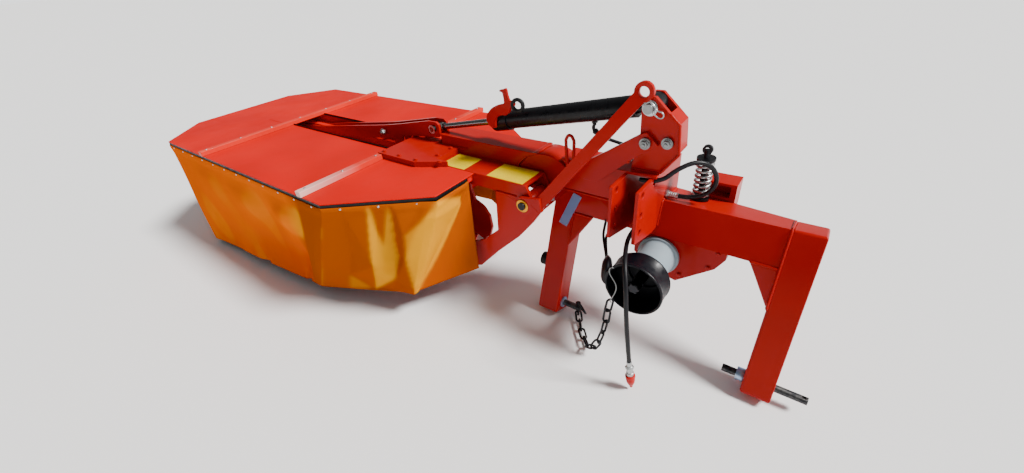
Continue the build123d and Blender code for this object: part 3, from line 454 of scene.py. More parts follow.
def bar_finish(name, colour):
    """Sprayed paint on the hood's bars, with a painted highlight in pale pink at the front end of the inner
    one.
    """
    # Heavy pale dust on the bars' tops, which stands as a painted highlight.
    material = paint_finish(name, colour, dust=0.5, gloss=0.25)
    tree = material.node_tree
    place = parts(tree, own_place(tree))
    # Painted highlight: pale pink over the front end of the inner bar.
    inner = ranged(tree, place["X"], -0.5, -0.4)
    painted_highlight = times(tree, inner, ranged(tree, place["Y"], -0.22, -0.44, 0.0, 0.8))
    painted = tree.nodes["Principled BSDF"].inputs["Base Color"].links[0].from_socket
    return shaded(material, {"Base Color": mixed(tree, painted_highlight, painted, (0.80, 0.52, 0.46, 1))})


def pin_finish(name, colour):
    """Blackened pins whose collars beside the legs are blue zinc."""
    material, tree = new_material(name)
    along = parts(tree, own_place(tree))["X"]
    collars = [times(tree, ranged(tree, along, start - MM, start), ranged(tree, along, end + MM, end))
               for start, end in COLLAR_ZONES]
    fine = noise(tree, 130, 6, 0.6)
    worn = patches(tree, 40, 6, 0.65, 0.45, 0.7)
    black = mixed(tree, worn, rgba(colour), (0.13, 0.125, 0.12, 1))
    blue = mixed(tree, worn, (0.30, 0.42, 0.66, 1), (0.52, 0.58, 0.64, 1))
    return shaded(material, {
        "Base Color": mixed(tree, combined(tree, "MAXIMUM", *collars), black, blue),
        "Roughness": ranged(tree, fine, 0.3, 0.7, 0.30, 0.48),
        "Normal": bumped(tree, fine, 0.2, 0.0004), "Metallic": 0.9})


def metal_finish(name, colour, rough, brushed=(1.0, 1.0, 1.0), grain=160.0, stain=0.25):
    """Metal with grain along one direction, which also sets its roughness, and light staining."""
    material, tree = new_material(name)
    mapping = add(tree, "Mapping", {"Vector": own_place(tree), "Scale": brushed})
    fine = noise(tree, grain, 6, 0.6, mapping.outputs["Vector"])
    stained = patches(tree, 26, 6, 0.65, 0.38, 0.72, 0.0, stain)
    return shaded(material, {
        "Base Color": mixed(tree, stained, rgba(colour), rgba(colour, (0.45, 0.45, 0.45))),
        "Roughness": ranged(tree, fine, 0.3, 0.7, rough - 0.07, rough + 0.13),
        "Normal": bumped(tree, fine, 0.18, 0.0004), "Metallic": 1.0})


def rubber_finish(name, colour, dust, rough=0.5):
    """Rubber, moulded plastic or black paint with fine grain, dust and faint scuffs."""
    material, tree = new_material(name)
    cloud = patches(tree, 32, 8, 0.65, 0.46, 0.8, 0.0, dust)
    grey = tuple(value + 0.035 for value in colour)
    return shaded(material, {
        "Base Color": mixed(tree, cloud, rgba(colour), rgba(grey)),
        "Roughness": patches(tree, 60, 5, 0.5, 0.3, 0.7, rough - 0.1, rough + 0.15),
        "Normal": bumped(tree, noise(tree, 700, 2), 0.2, 0.0004), "Specular IOR Level": 0.22})


def cloth_finish(name, colour):
    """Coated cloth: a fine weave from the piece's own map, soft creases and a scuffed hem.

    Painted light: it is yellow on the folds of the inner end that face the light, with ochre painted shade
    between them, and the long sides get a painted highlight on their lit folds. The long sides are a deeper
    orange, browner low down near the front corner, a painted shade."""
    material, tree = new_material(name)
    uv = add(tree, "TexCoord").outputs["UV"]
    place, share = parts(tree, uv)["X"], parts(tree, uv)["Y"]
    # How far each point is painted as lit, set by the skirt from the slopes of its folds.
    lit = add(tree, "Attribute", attribute_name="lit").outputs["Fac"]
    drift = patches(tree, 3.2, 3, 0.5, 0.35, 0.7, 0.0, 0.35)
    brown = rgba(colour, (0.60, 0.13, 1))
    # Inner end: painted light, yellow on the lit folds and ochre painted shade between them.
    end = mixed(tree, lit, rgba(colour, (0.45, 0.17, 1)), rgba(colour, (0.85, 0.75, 1)))
    side = mixed(tree, drift, rgba(colour, (0.90, 0.30, 1)), rgba(colour, (1, 0.42, 1)))
    # Painted highlight on the sides' folds that face the light.
    side = mixed(tree, times(tree, lit, 0.5), side, rgba(colour, (1, 0.55, 1)))
    # Painted shade: browner low down on the front side near its corner, in the folds there.
    painted_shade_low = times(tree, ranged(tree, share, 0.30, 0.75), ranged(tree, place, 3.35, 3.95, 0.0, 0.8))
    side = mixed(tree, painted_shade_low, side, brown)
    base = mixed(tree, ranged(tree, place, 4.10, 4.19), side, end)
    soil = times(tree, ranged(tree, share, 0.5, 1.0), patches(tree, 15, 8, 0.65, 0.40, 0.72, 0.0, 0.3))
    weave_u = add(tree, "TexWave", {"Scale": 320.0, "Vector": uv}, bands_direction="X").outputs["Fac"]
    weave_v = add(tree, "TexWave", {"Scale": 110.0, "Vector": uv}, bands_direction="Y").outputs["Fac"]
    weave = bumped(tree, times(tree, weave_u, weave_v), 0.10, 0.0003)
    return shaded(material, {
        "Base Color": mixed(tree, soil, base, brown),
        "Roughness": patches(tree, 22, 6, 0.5, 0.3, 0.75, 0.40, 0.58),
        "Normal": bumped(tree, noise(tree, 9, 3, 0.45), 0.30, 0.012, weave), "Specular IOR Level": 0.0})


def reflector_finish(name, colour):
    """Reflecting sheet: a small honeycomb of cells under a clear face."""
    material, tree = new_material(name)
    cells = add(tree, "TexVoronoi", {"Scale": 260.0, "Vector": own_place(tree)}, feature="DISTANCE_TO_EDGE")
    edge = ranged(tree, cells.outputs["Distance"], 0.02, 0.09)
    pale = mixed(tree, patches(tree, 20, 5, 0.5, 0.35, 0.75), rgba(colour), rgba(colour, (1, 0.86, 1)))
    return shaded(material, {
        "Base Color": mixed(tree, edge, rgba(colour, (0.72, 0.72, 0.72)), pale),
        "Normal": bumped(tree, cells.outputs["Distance"], 0.15, 0.0003), "Roughness": 0.30,
        "Specular IOR Level": 0.2, "Specular Tint": (1.0, 0.85, 0.15, 1)})


MATERIALS = {}


def finish(look):
    """The material of a look, made at its first use, and the slot that goes with it."""
    own = colours()
    looks = {
        # look: slot, maker, material, colour, settings
        "red": ("red_paint", paint_finish, "red_enamel", own.red, {}),
        "hood_red": ("red_paint", paint_finish, "hood_enamel", rgba(own.red, (1.5, 1, 1)),
                     {"dust": 0.05, "gloss": 0.3, "shine": 0.03}),
        # Bars: lighter, pinker paint with heavy pale dust on their tops, a painted highlight.
        "bar_red": ("red_paint", bar_finish, "bar_enamel", rgba(own.red, (1.6, 8, 10)), {}),
        "cap": ("black_steel", paint_finish, "cap_plastic", (0.52, 0.012, 0.012),
                {"dust": 0.03, "gloss": 0.3}),
        "label": ("grey_plastic", paint_finish, "blank_plate", own.label, {"dust": 0.2, "gloss": 0.25}),
        "panel": ("yellow_cloth", reflector_finish, "yellow_reflector", own.panel, {}),
        "cloth": ("yellow_cloth", cloth_finish, "coated_cloth", own.cloth, {}),
        "black_paint": ("black_paint", rubber_finish, "black_enamel", (0.003, 0.003, 0.004),
                        {"rough": 0.3, "dust": 0.06}),
        "rubber": ("black_rubber", rubber_finish, "black_rubber_matt", (0.006, 0.006, 0.007), {"dust": 0.15}),
        "strip": ("black_rubber", rubber_finish, "edge_rubber", (0.004, 0.004, 0.005), {"dust": 0.08}),
        "hose": ("black_rubber", rubber_finish, "hose_rubber", (0.006, 0.006, 0.008),
                 {"rough": 0.38, "dust": 0.12}),
        "bell": ("black_rubber", rubber_finish, "bell_plastic", (0.003, 0.003, 0.006),
                 {"rough": 0.36, "dust": 0.10}),
        "housing": ("grey_plastic", rubber_finish, "grey_housing", (0.26, 0.33, 0.37),
                    {"rough": 0.4, "dust": 0.5}),
        "zinc": ("steel", metal_finish, "zinc_plate", (0.48, 0.50, 0.50), {"rough": 0.34}),
        "grey_steel": ("steel", metal_finish, "dull_zinc", (0.26, 0.27, 0.27), {"rough": 0.38, "stain": 0.4}),
        "bright": ("steel", metal_finish, "turned_steel", (0.42, 0.42, 0.42),
                   {"rough": 0.26, "brushed": (1, 1, 12)}),
        "chrome": ("steel", metal_finish, "chrome_rod", (0.22, 0.235, 0.235),
                   {"rough": 0.2, "grain": 260, "stain": 0.1}),
        "worn": ("steel", metal_finish, "worn_steel", (0.30, 0.28, 0.26), {"rough": 0.4, "stain": 0.6}),
        "brass": ("steel", metal_finish, "bush_bronze", (0.70, 0.32, 0.03), {"rough": 0.38, "stain": 0.5}),
        "dark": ("black_steel", metal_finish, "blackened_steel", (0.03, 0.03, 0.034), {"rough": 0.42}),
        "pins": ("steel", pin_finish, "hitch_pin_steel", (0.035, 0.035, 0.04), {}),
    }
    slot, maker, material, colour, settings = looks[look]
    if look not in MATERIALS:
        MATERIALS[look] = maker(material, colour, **settings)
    return MATERIALS[look], slot


# The frame's own nodes by their look and bevel in mm
NODE_FINISH = {
    ("hood_red", 0.8): ["hood"],
    ("hood_red", 2.0): ["main_beam"],
    ("bar_red", 2.5): ["hood_bars"],
    ("red", 0): ["drum_outer", "drum_inner", "loop_handle"],
    ("red", 1.0): ["hood_brackets", "latch_hook", "hinge_sleeve"],
    ("red", 1.2): ["curved_arm", "inner_plate", "lift_lever", "clevis_plates", "clevis_bridge", "mast",
                   "brace_lower"],
    ("red", 1.5): ["gear_cover", "brace_upper"],
    ("red", 2.0): ["rear_bracket", "drive_guard"],
    ("red", 3.0): ["carrying_beam"],
    ("red", 4.0): ["rear_box", "stub_box"],
    ("red", 5.0): ["crossbeam"],
    ("red", 6.0): ["leg_left"],
    ("red", 7.0): ["leg_right"],
    ("cap", 0): ["hose_coupler"],
    ("black_paint", 0): ["lift_barrel"],
    ("strip", 1.0): ["edge_strip"],
    ("rubber", 2.0): ["bump_stop"],
    ("bell", 0): ["pto_bell"],
    ("housing", 1.0): ["drive_housing"],
    ("zinc", 0.5): ["hose_glands"],
    ("grey_steel", 0.8): ["mast_pins"],
    ("bright", 0): ["spring"],
    ("bright", 0.6): ["pto_shaft"],
    ("chrome", 0): ["lift_rod"],
    ("worn", 0): ["spindles", "dish_outer", "dish_inner"],
    ("worn", 0.6): ["knives_outer", "knives_inner"],
    ("dark", 0): ["chain"],
    ("dark", 0.8): ["hinge_pin", "linch_pin", "spring_rod"],
    ("pins", 1.2): ["hitch_pin_left", "hitch_pin_right"],
}


class MOWER_OT_frame_finish(bpy.types.Operator):
    """Paint and soften the edges of the frame's own pieces"""
    bl_idname = "mower.frame_finish"
    bl_label = "Frame Finish"

    def execute(self, context):
        for (look, bevel), nodes in NODE_FINISH.items():
            for node in nodes:
                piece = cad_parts[node]
                piece.data.materials.clear()
                piece.data.materials.append(finish(look)[0])
                if bevel:
                    join = piece.modifiers.new("Weld", "WELD")
                    join.merge_threshold = 2e-6
                    bevelled(piece, bevel, 32).use_clamp_overlap = True
        return {"FINISHED"}


# Skirt

# Rim and hem points of the skirt's stations (m), from the mouth's rear end round to its front end
SKIRT_STATIONS = np.array([
    # rim x, rim y, hem x, hem y, hem z
    (0.340, 0.190, 0.322, 0.190, 0.150), (0.340, 0.242, 0.215, 0.270, 0.124),
    (0.310, 0.264, 0.150, 0.315, 0.108), (0.190, 0.352, 0.030, 0.395, 0.092),
    (0.044, 0.459, -0.060, 0.450, 0.080), (-0.400, 0.459, -0.400, 0.462, 0.055),
    (-0.800, 0.459, -0.780, 0.470, 0.042), (-1.225, 0.459, -1.160, 0.484, 0.032),
    (-1.310, 0.366, -1.290, 0.366, 0.032), (-1.410, 0.274, -1.390, 0.262, 0.030),
    (-1.410, -0.253, -1.390, -0.258, 0.030), (-1.320, -0.354, -1.280, -0.370, 0.032),
    (-1.225, -0.459, -1.160, -0.486, 0.032), (-0.800, -0.459, -0.660, -0.474, 0.058),
    (-0.330, -0.459, -0.359, -0.446, 0.062), (0.044, -0.459, -0.247, -0.440, 0.064),
    (0.190, -0.352, 0.005, -0.355, 0.090), (0.320, -0.257, 0.171, -0.297, 0.110),
    (0.340, -0.242, 0.174, -0.292, 0.112), (0.340, -0.110, 0.182, -0.284, 0.114),
    (0.340, -0.093, 0.326, -0.093, 0.150),
])
# Corners of the inner end's sharp folds: place along the rim (m), share of the drop, height (mm)
FOLD_CORNERS = np.array([
    (4.17, 0.0, 0), (4.17, 0.5, 0), (4.17, 1.0, 0), (4.283, 0.29, 5.6), (4.25, 0.68, 4.2), (4.331, 1.0, 2.8),
    (4.417, 0.0, 0), (4.469, 0.45, 2.8), (4.473, 0.79, -1.4), (4.475, 1.0, -1.4), (4.549, 0.0, 0),
    (4.601, 0.61, 33.6), (4.596, 1.0, -8.4), (4.637, 0.52, 8.4), (4.639, 0.0, 0), (4.661, 0.34, -12.6),
    (4.682, 0.0, 0), (4.704, 0.28, 33.6), (4.690, 0.60, -14), (4.685, 0.84, -5.6), (4.689, 1.0, -4.2),
    (4.756, 0.0, 0), (4.769, 0.13, 25.2), (4.726, 0.53, 37.8), (4.784, 1.0, 22.4), (4.800, 0.0, 4.2),
    (5.130, 0.0, 0), (5.015, 0.21, -2.8), (4.982, 0.43, -4.2), (4.965, 0.63, -4.2), (4.932, 1.0, -2.8),
    (5.060, 0.62, 1.4), (5.060, 1.0, 1.4), (5.174, 0.0, 0), (5.174, 0.5, 0), (5.174, 1.0, 0),
])
FOLD_EDGES = [(3, 4), (4, 5), (6, 11), (10, 11), (14, 13), (11, 13), (16, 17), (21, 17), (22, 23), (23, 24),
              (25, 22), (26, 27), (27, 28), (28, 29), (29, 30), (15, 18), (18, 19)]
# Swells of the sides: place along the rim (m), share of the drop, height (mm), half length (m), half share
SWELLS = np.array([
    (3.70, 0.30, 22.5, 0.12, 0.15), (4.05, 0.26, 25.5, 0.09, 0.15), (3.36, 0.28, 18, 0.15, 0.22),
    (3.08, 0.62, 15, 0.10, 0.25), (4.10, 0.74, -19.5, 0.16, 0.16), (3.62, 0.74, -16.5, 0.20, 0.18),
    (3.87, 0.45, -10.5, 0.05, 0.3), (3.22, 0.8, -9, 0.07, 0.2), (3.50, 1.00, -12, 0.04, 0.12),
    (4.03, 1.00, -10.5, 0.04, 0.12), (2.98, 0.98, 9, 0.06, 0.3), (0.20, 0.55, 18, 0.05, 0.3),
    (0.33, 0.60, -13.5, 0.05, 0.3), (0.46, 0.50, 15, 0.06, 0.3), (0.75, 0.40, 18, 0.12, 0.2),
    (1.10, 0.45, -12, 0.10, 0.3), (1.35, 0.35, 19.5, 0.14, 0.2), (1.70, 0.60, 13.5, 0.10, 0.3),
    (2.05, 0.50, 12, 0.08, 0.3), (2.30, 0.45, 18, 0.11, 0.25), (2.55, 0.60, -13.5, 0.09, 0.3),
    (2.75, 0.50, 12, 0.07, 0.3),
])
# Swells fade in below the rim over this share of the drop, and out before this place along the rim
RIM_FADE, SIDE_END, SIDE_FADE = 0.2, 4.20, 0.06
RIPPLE = 0.8 * MM
# How far the cloth lies inside its line, in mm, at shares of the drop: at the top it lies over the strip
INSET = ((0, 0.045, 0.09, 1), (-2.4, -2.4, 0.5, 1.0))
# Share of the drop that hangs straight down over the strip, and the drop (m) that the folds are laid out on
KNEE, FOLD_DROP = 0.040, 0.45
CLOTH_PITCH, CLOTH_ROWS, CLOTH_THICKNESS = 7.7 * MM, 70, 1.6 * MM
# Slopes of a fold where its painted light begins and where it is painted fully lit
LIT_SLOPES = (0.03, 0.10)


class MOWER_OT_skirt(bpy.types.Operator):
    """Hang the coated cloth skirt under the rim"""
    bl_idname = "mower.skirt"
    bl_label = "Skirt"

    def execute(self, context):
        rim = np.column_stack([SKIRT_STATIONS[:, :2], np.full(len(SKIRT_STATIONS), CLOTH_TOP)])
        hem = SKIRT_STATIONS[:, 2:5]
        steps = np.maximum(*(np.linalg.norm(np.diff(line, axis=0), axis=1) for line in (rim, hem)))
        along = np.concatenate([[0.0], np.cumsum(steps)])
        s = np.unique(np.concatenate([np.linspace(0, along[-1], int(along[-1] / CLOTH_PITCH)), along]))
        t = np.linspace(0, 1, CLOTH_ROWS)
        points = self.drop(at_places(s, along, rim), at_places(s, along, hem), t)
        folds, ripple = self.folds(s, t)
        inset = np.interp(t, *INSET) * MM
        points += self.outward(points)[:, None] * (folds + ripple - inset)[..., None]
        cloth = Shape().grid(points).made("skirt_cloth", "cutter", "cloth", crease=34, closed=False)
        # Painted light: how far each point is lit, from the slope of its folds along the rim.
        lit = self.softened(np.interp(-np.gradient(folds, s, axis=0), LIT_SLOPES, (0, 1)), 3)
        self.mapped(cloth.data, s, t, lit)
        wall = cloth.modifiers.new("Wall", "SOLIDIFY")
        wall.thickness, wall.offset = CLOTH_THICKNESS, -1.0
        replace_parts(cloth, "skirt")
        return {"FINISHED"}

    def drop(self, rim, hem, t):
        """Straight down over the lower half of the black strip, then along the line from there to the hem."""
        fall = np.array((0, 0, STRIP_LOW - CLOTH_TOP))
        down = np.clip(t / KNEE, 0, 1)[None, :, None] * fall
        share = np.clip((t - KNEE) / (1 - KNEE), 0, 1)[None, :, None]
        return rim[:, None] + down + (hem - rim - fall)[:, None] * share

    def outward(self, points):
        """Level direction away from the hood at each place along the rim, as the mean over some places."""
        tangent = np.gradient(0.5 * points[:, 0] + 0.5 * points[:, -1], axis=0)
        count = 13
        x, y = (np.convolve(np.pad(line, count // 2, "edge"), np.ones(count) / count, "valid")
                for line in (tangent[:, 1], -tangent[:, 0]))
        away = np.stack([x, y, 0 * x], -1)
        return away / (np.linalg.norm(away, axis=1)[:, None] + 1e-9)

    def folds(self, s, t):
        """Height of the folds over the whole sheet, and of the fine ripple that comes on top.

        Between the fold corners at the inner end the folds are flat facets, and on the long sides they are
        bell-shaped swells. The ripple is two waves along the rim that lean as they go down. All of them fade
        to nothing at the rim."""
        place, share = np.meshgrid(s, t, indexing="ij")
        height = sum(tall * np.exp(-((place - centre) / length) ** 2 - ((share - level) / reach) ** 2)
                     for centre, level, tall, length, reach in SWELLS)
        side = np.clip(share / RIM_FADE, 0, 1) * np.clip((SIDE_END - place) / SIDE_FADE, 0, 1)
        height *= side
        ripple = np.sin(place * 31 + 2.1 * np.sin(share * 3.1)) + 0.6 * np.sin(place * 74 + 1.4 * share + 1)
        ripple *= RIPPLE * np.sin(np.pi * share) * side
        corners = [Vector((a, FOLD_DROP * b)) for a, b in FOLD_CORNERS[:, :2]]
        made = delaunay_2d_cdt(corners, FOLD_EDGES, [], 0, 1e-5)
        flat = np.array([v[:] for v in made[0]])
        tall = np.array([FOLD_CORNERS[origin[0], 2] if origin else 0.0 for origin in made[3]])
        spot = np.stack([place, FOLD_DROP * share], -1)
        for face in made[2]:
            a, b, c = flat[list(face)]
            base = np.linalg.inv(np.column_stack([b - a, c - a]))
            v, w = np.moveaxis((spot - a) @ base.T, -1, 0)
            inside = (v >= -1e-9) & (w >= -1e-9) & (v + w <= 1 + 1e-9)
            at_a, at_b, at_c = tall[list(face)]
            height[inside] = (at_a * (1 - v - w) + at_b * v + at_c * w)[inside]
        return self.softened(height, 1) * MM, ripple

    def softened(self, values, passes):
        """A grid of values, each drawn half way to the mean of its four neighbours, a few times over."""
        for _ in range(passes):
            near = np.pad(values, 1, "edge")
            around = near[2:, 1:-1] + near[:-2, 1:-1] + near[1:-1, 2:] + near[1:-1, :-2]
            values = 0.5 * values + 0.125 * around
        return values

    def mapped(self, mesh, s, t, lit):
        """The cloth's own map, place along the rim by share of the drop, and how far each point is painted as
        lit.
        """
        corner = np.empty(len(mesh.loops), int)
        mesh.loops.foreach_get("vertex_index", corner)
        grid_uv = np.stack(np.broadcast_arrays(s[:, None], t[None, :]), -1).reshape(-1, 2)
        mesh.uv_layers.new(name="UVMap").data.foreach_set("uv", grid_uv[corner].ravel())
        values = mesh.attributes.new("lit", "FLOAT", "POINT").data
        values.foreach_set("value", lit.ravel().astype(np.float32))


# Hoses

def hose_curve(name, node, route, diameter):
    """A hose as a bevelled curve whose control points are its route, in the place of the frame's tube."""
    curve = bpy.data.curves.new(name, "CURVE")
    curve.dimensions, curve.resolution_u, curve.use_fill_caps = "3D", 12, True
    curve.bevel_depth, curve.bevel_resolution = diameter / 2, 5
    spline = curve.splines.new("NURBS")
    spline.points.add(len(route) - 1)
    spline.points.foreach_set("co", np.column_stack([route, np.ones(len(route))]).ravel())
    spline.order_u, spline.use_endpoint_u = 3, True
    piece = bpy.data.objects.new(name, curve)
    bpy.context.scene.collection.objects.link(piece)
    material, slot = finish("hose")
    curve.materials.append(material)
    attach(piece, "headstock")
    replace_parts(piece, node)
    return piece


def ferrule(name, place, axis, diameter, length, look="zinc"):
    """A crimped ferrule with four rings and its hexagon, along the hose's end; the length is in mm."""
    inner = diameter / 2 / MM
    profile = [(inner * 0.9, 0.0), (inner + 2.2, 0.0), (inner + 2.8, 1.5)]
    for step in range(4):
        start = 4 + step * length / 5
        profile += [(inner + out, start + rise) for out, rise in ((2.8, 0), (1.6, 1.2), (1.6, 3), (2.8, 4.2))]
    profile += [(inner + 2.8, length), (inner * 0.9, length)]
    along = axis / np.linalg.norm(axis)
    shape = Shape().many(turned(np.array(profile) * MM, 32), place, along)
    shape.many(hexagon(diameter + 6 * MM, 9 * MM), place - along * 8 * MM, along)
    return shape.made(name, "headstock", look, slot="steel")


class MOWER_OT_hoses(bpy.types.Operator):
    """Lay the oil hoses with their crimped ends"""
    bl_idname = "mower.hoses"
    bl_label = "Hoses"

    def execute(self, context):
        wide, narrow = sizes().hose_diameter, sizes().lift_hose_diameter
        loop = hose_curve("oil_hose_loop", "hose_loop", HOSE_LOOP, wide)
        drop = hose_curve("oil_hose_drop", "hose_drop", HOSE_DROP, wide)
        lift = hose_curve("oil_hose_lift", "hose_lift", HOSE_LIFT, narrow)
        ferrule("loop_hose_end", HOSE_LOOP[-1], HOSE_LOOP[-2] - HOSE_LOOP[-1], wide, 30)
        ferrule("drop_hose_end", HOSE_DROP[0], HOSE_DROP[1] - HOSE_DROP[0], wide, 30)
        ferrule("lift_hose_foot", HOSE_LIFT[0], HOSE_LIFT[1] - HOSE_LIFT[0], narrow, 16)
        down = (HOSE_LIFT[-2] - HOSE_LIFT[-1]) / np.linalg.norm(HOSE_LIFT[-2] - HOSE_LIFT[-1])
        lift_end = ferrule("lift_hose_end", HOSE_LIFT[-1] + down * 10 * MM, down, narrow, 12, "dark")
        self.elbow(narrow)
        coupler = self.coupler(HOSE_DROP[-1], HOSE_DROP[-1] - HOSE_DROP[-2])
        return {"FINISHED"}

    def elbow(self, diameter):
        """Short bend from the lift hose's end to the barrel's port."""
        start, turn = HOSE_LIFT[-1], np.array((704, 85, 699)) * MM
        path = smooth(np.array([start + (2 * MM, 0, -4 * MM), start, turn, LIFT_PORT]), 1 * MM)
        elbow = Shape().tube(path, circle(diameter / 2, 14)).made("lift_hose_elbow", None, "hose", crease=60)
        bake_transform(elbow)

    def coupler(self, place, axis):
        """Quick coupler: grey nut, grooved sleeve, and a red dust cap with a pull tab."""
        sleeve = [(5, -16), (7.4, -15), (7.8, -14), (7.8, 2), (9.6, 3), (10.4, 5), (10.4, 20), (8.8, 22),
                  (8.8, 30), (10.6, 31), (10.6, 42), (9, 44), (0, 44)]
        cap = [(0, 43), (12.5, 43), (14.6, 45), (15.2, 49), (14.6, 53), (13, 55), (13.6, 60), (13, 68),
               (11, 77), (8.5, 84), (6, 89), (4.6, 92), (4.6, 97), (3.2, 99), (0, 99)]
        shape = Shape().many(turned(np.array(sleeve) * MM, 32), place, axis)
        shape.many(hexagon(22 * MM, 8 * MM), place + axis / np.linalg.norm(axis) * 6 * MM, axis)
        fitting = shape.made("coupler_nut", "headstock", "zinc", slot="black_steel")
        cover = Shape().many(turned(np.array(cap) * MM, 40), place, axis)
        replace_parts(cover.made("coupler_cap", "headstock", "cap"), "hose_coupler")
        return fitting


# Hood fittings

def pan_head(radius):
    """A low domed screw head, its radius in mm."""
    angle = np.linspace(0, np.pi / 2, 6)
    return turned(np.column_stack([radius * np.cos(angle), radius * 0.55 * np.sin(angle)]) * MM, 16)


# Strip bolts: how far out of the strip and below its top, and the mouth's stretch of the inner edge along Y
STRIP_BOLT_OUT, STRIP_BOLT_DROP, INNER_EDGE, MOUTH = 2.6 * MM, 17 * MM, 0.335, (-0.10, 0.20)
# Rows of bar screws along X and their places along Y; the inner row leaves the gear cover free
OUTER_BAR, INNER_BAR, SCREW_PLACES, COVER_HALF = -0.836, -0.067, np.linspace(-0.435, 0.435, 7), 0.14
COVER_BOLTS = [((x, y, COVER_TOP / MM), UP) for x, y in (
    (-66, -102), (20, -104), (108, -104), (203, -80), (156, -40), (156, 28), (68, 72), (-20, 74), (-66, 72))]
CASE_BOLTS = [((x, -26, 470), UP) for x in range(-1000, -100, 112)]
# Opening over the gear case, the plate over its outer end and the lids in it: x and y from and to, in mm
RECESS, RECESS_PLATE = (-846, -110, -45, 120), (-1050, -849, -54, 129)
LIDS = [(-1030, -215, 72, 98), (-1035, -115, 114, 118)]
LID_TOP, LID_FOLD = 503 * MM, 32


class MOWER_OT_hood_fittings(bpy.types.Operator):
    """Set the strip's, bars', gear cover's and case's fasteners, the lids and the recess edge"""
    bl_idname = "mower.hood_fittings"
    bl_label = "Hood Fittings"

    def execute(self, context):
        self.strip_bolts()
        screws = [(x, y, HOOD_TOP + 20 * MM) for x in (OUTER_BAR, INNER_BAR) for y in SCREW_PLACES
                  if x == OUTER_BAR or abs(y) > COVER_HALF]
        Shape().many(pan_head(4.6), screws, UP, ends=False).made("bar_screws", "cutter", "zinc")
        bolts("cover_bolts", "cutter", 12, "red", False, COVER_BOLTS)
        self.case_lids()
        bolts("case_bolts", "cutter", 13, "hood_red", False, CASE_BOLTS)
        self.recess_edge()
        return {"FINISHED"}

    def strip_bolts(self):
        """Round heads at an even pitch along each side of the strip, left out over the mouth."""
        places, axes = [], []
        for start, end in zip(HOOD_OUTLINE, np.roll(HOOD_OUTLINE, -1, 0)):
            length = np.linalg.norm(end - start)
            count = max(2, int(round(length / sizes().rim_bolt_pitch)))
            side = np.array((end[1] - start[1], start[0] - end[0])) / length
            for share in (np.arange(count) + 0.5) / count:
                x, y = start + (end - start) * share
                if not (x > INNER_EDGE and MOUTH[0] < y < MOUTH[1]):
                    x, y = (x, y) + side * STRIP_BOLT_OUT
                    places.append((x, y, STRIP_TOP - STRIP_BOLT_DROP))
                    axes.append((*side, 0.0))
        Shape().many(pan_head(4.2), places, axes, ends=False).made("strip_bolts", "cutter", "zinc")

    def case_lids(self):
        """Folded lids on the gear case between and behind the lever's plates."""
        lids = Shape()
        for x0, x1, y0, y1 in LIDS:
            edges = np.array([(y0, -LID_FOLD), (y0, 0), (y1, 0), (y1, -LID_FOLD)]) * MM
            lids.plate(edges, (x1 - x0) * MM, (x0 * MM, 0, LID_TOP), BACK, UP)
        lids.made("case_lids", "cutter", "hood_red", crease=40, bevel=1.5)

    def recess_edge(self):
        """Black sealing edge round the opening over the gear case, and the plate over its outer end."""
        ring = np.column_stack([rectangle(*RECESS) * MM, np.full(4, HOOD_TOP)])
        section = np.array([(0, -6), (1.6, -6), (1.6, 1.2), (-3.5, 1.2), (-3.5, 0), (0, 0)]) * MM
        shape = Shape()
        for start, end in zip(ring, np.roll(ring, -1, 0)):
            shape.tube(np.array([start, (start + end) / 2, end]), section)
        shape.made("recess_edge", "cutter", "strip")
        Shape().plate(rounded_box(*RECESS_PLATE, 4), 1.2 * MM, (0, 0, HOOD_TOP), RIGHT, BACK).made(
            "recess_plate", "cutter", "hood_red", crease=40, bevel=0.5)


def rectangle(x0, x1, y0, y1):
    """Corners of a rectangle, in the numbers' own unit."""
    return np.array([(x0, y0), (x1, y0), (x1, y1), (x0, y1)], float)


def rounded_box(x0, x1, y0, y1, radius):
    """Outline in metres of a rectangle with rounded corners, its sizes in mm."""
    angle = np.arange(24) * 2 * np.pi / 24 + np.pi / 24
    x = np.where(np.cos(angle) > 0, x1 - radius, x0 + radius) + radius * np.cos(angle)
    y = np.where(np.sin(angle) > 0, y1 - radius, y0 + radius) + radius * np.sin(angle)
    return np.column_stack([x, y]) * MM


# Reflecting panels on the front beam, as x and y from and to in mm, and the blank plate on the left leg
REFLECTORS = [(184, 292, -57, 38), (392, 536, -56, 42)]
PLATE_CORNERS = np.array([(583, 76, 343), (615, 73, 335), (653, 112, 440), (620, 115, 448)]) * MM
PLATE_THICKNESS = 1.4 * MM


class MOWER_OT_panels(bpy.types.Operator):
    """Stick on the yellow reflecting panels and the blank plate"""
    bl_idname = "mower.panels"
    bl_label = "Panels"

    def execute(self, context):
        for index, edges in enumerate(REFLECTORS):
            Shape().plate(rounded_box(*edges, 3), 0.7 * MM, (0, 0, CARRY_TOP), RIGHT, BACK).made(
                f"reflector_{index + 1}", "cutter", "panel", crease=40)
        corners, middle = PLATE_CORNERS, PLATE_CORNERS.mean(0)
        out = np.cross(corners[1] - corners[0], corners[3] - corners[0])
        out /= np.linalg.norm(out)
        plate = np.stack([corners - out * 1.5 * MM, corners + out * PLATE_THICKNESS])
        Shape().grid(plate, close_columns=True, ends=True).made(
            "blank_plate", "headstock", "label", crease=40, bevel=0.6)
        inner = middle + (corners - middle) * (0.86, 0.90, 0.90) + out * 1.3 * MM
        Shape().many(pan_head(2.2), inner, out, ends=False).made("plate_rivets", "headstock", "zinc")
        return {"FINISHED"}


# Loose fasteners

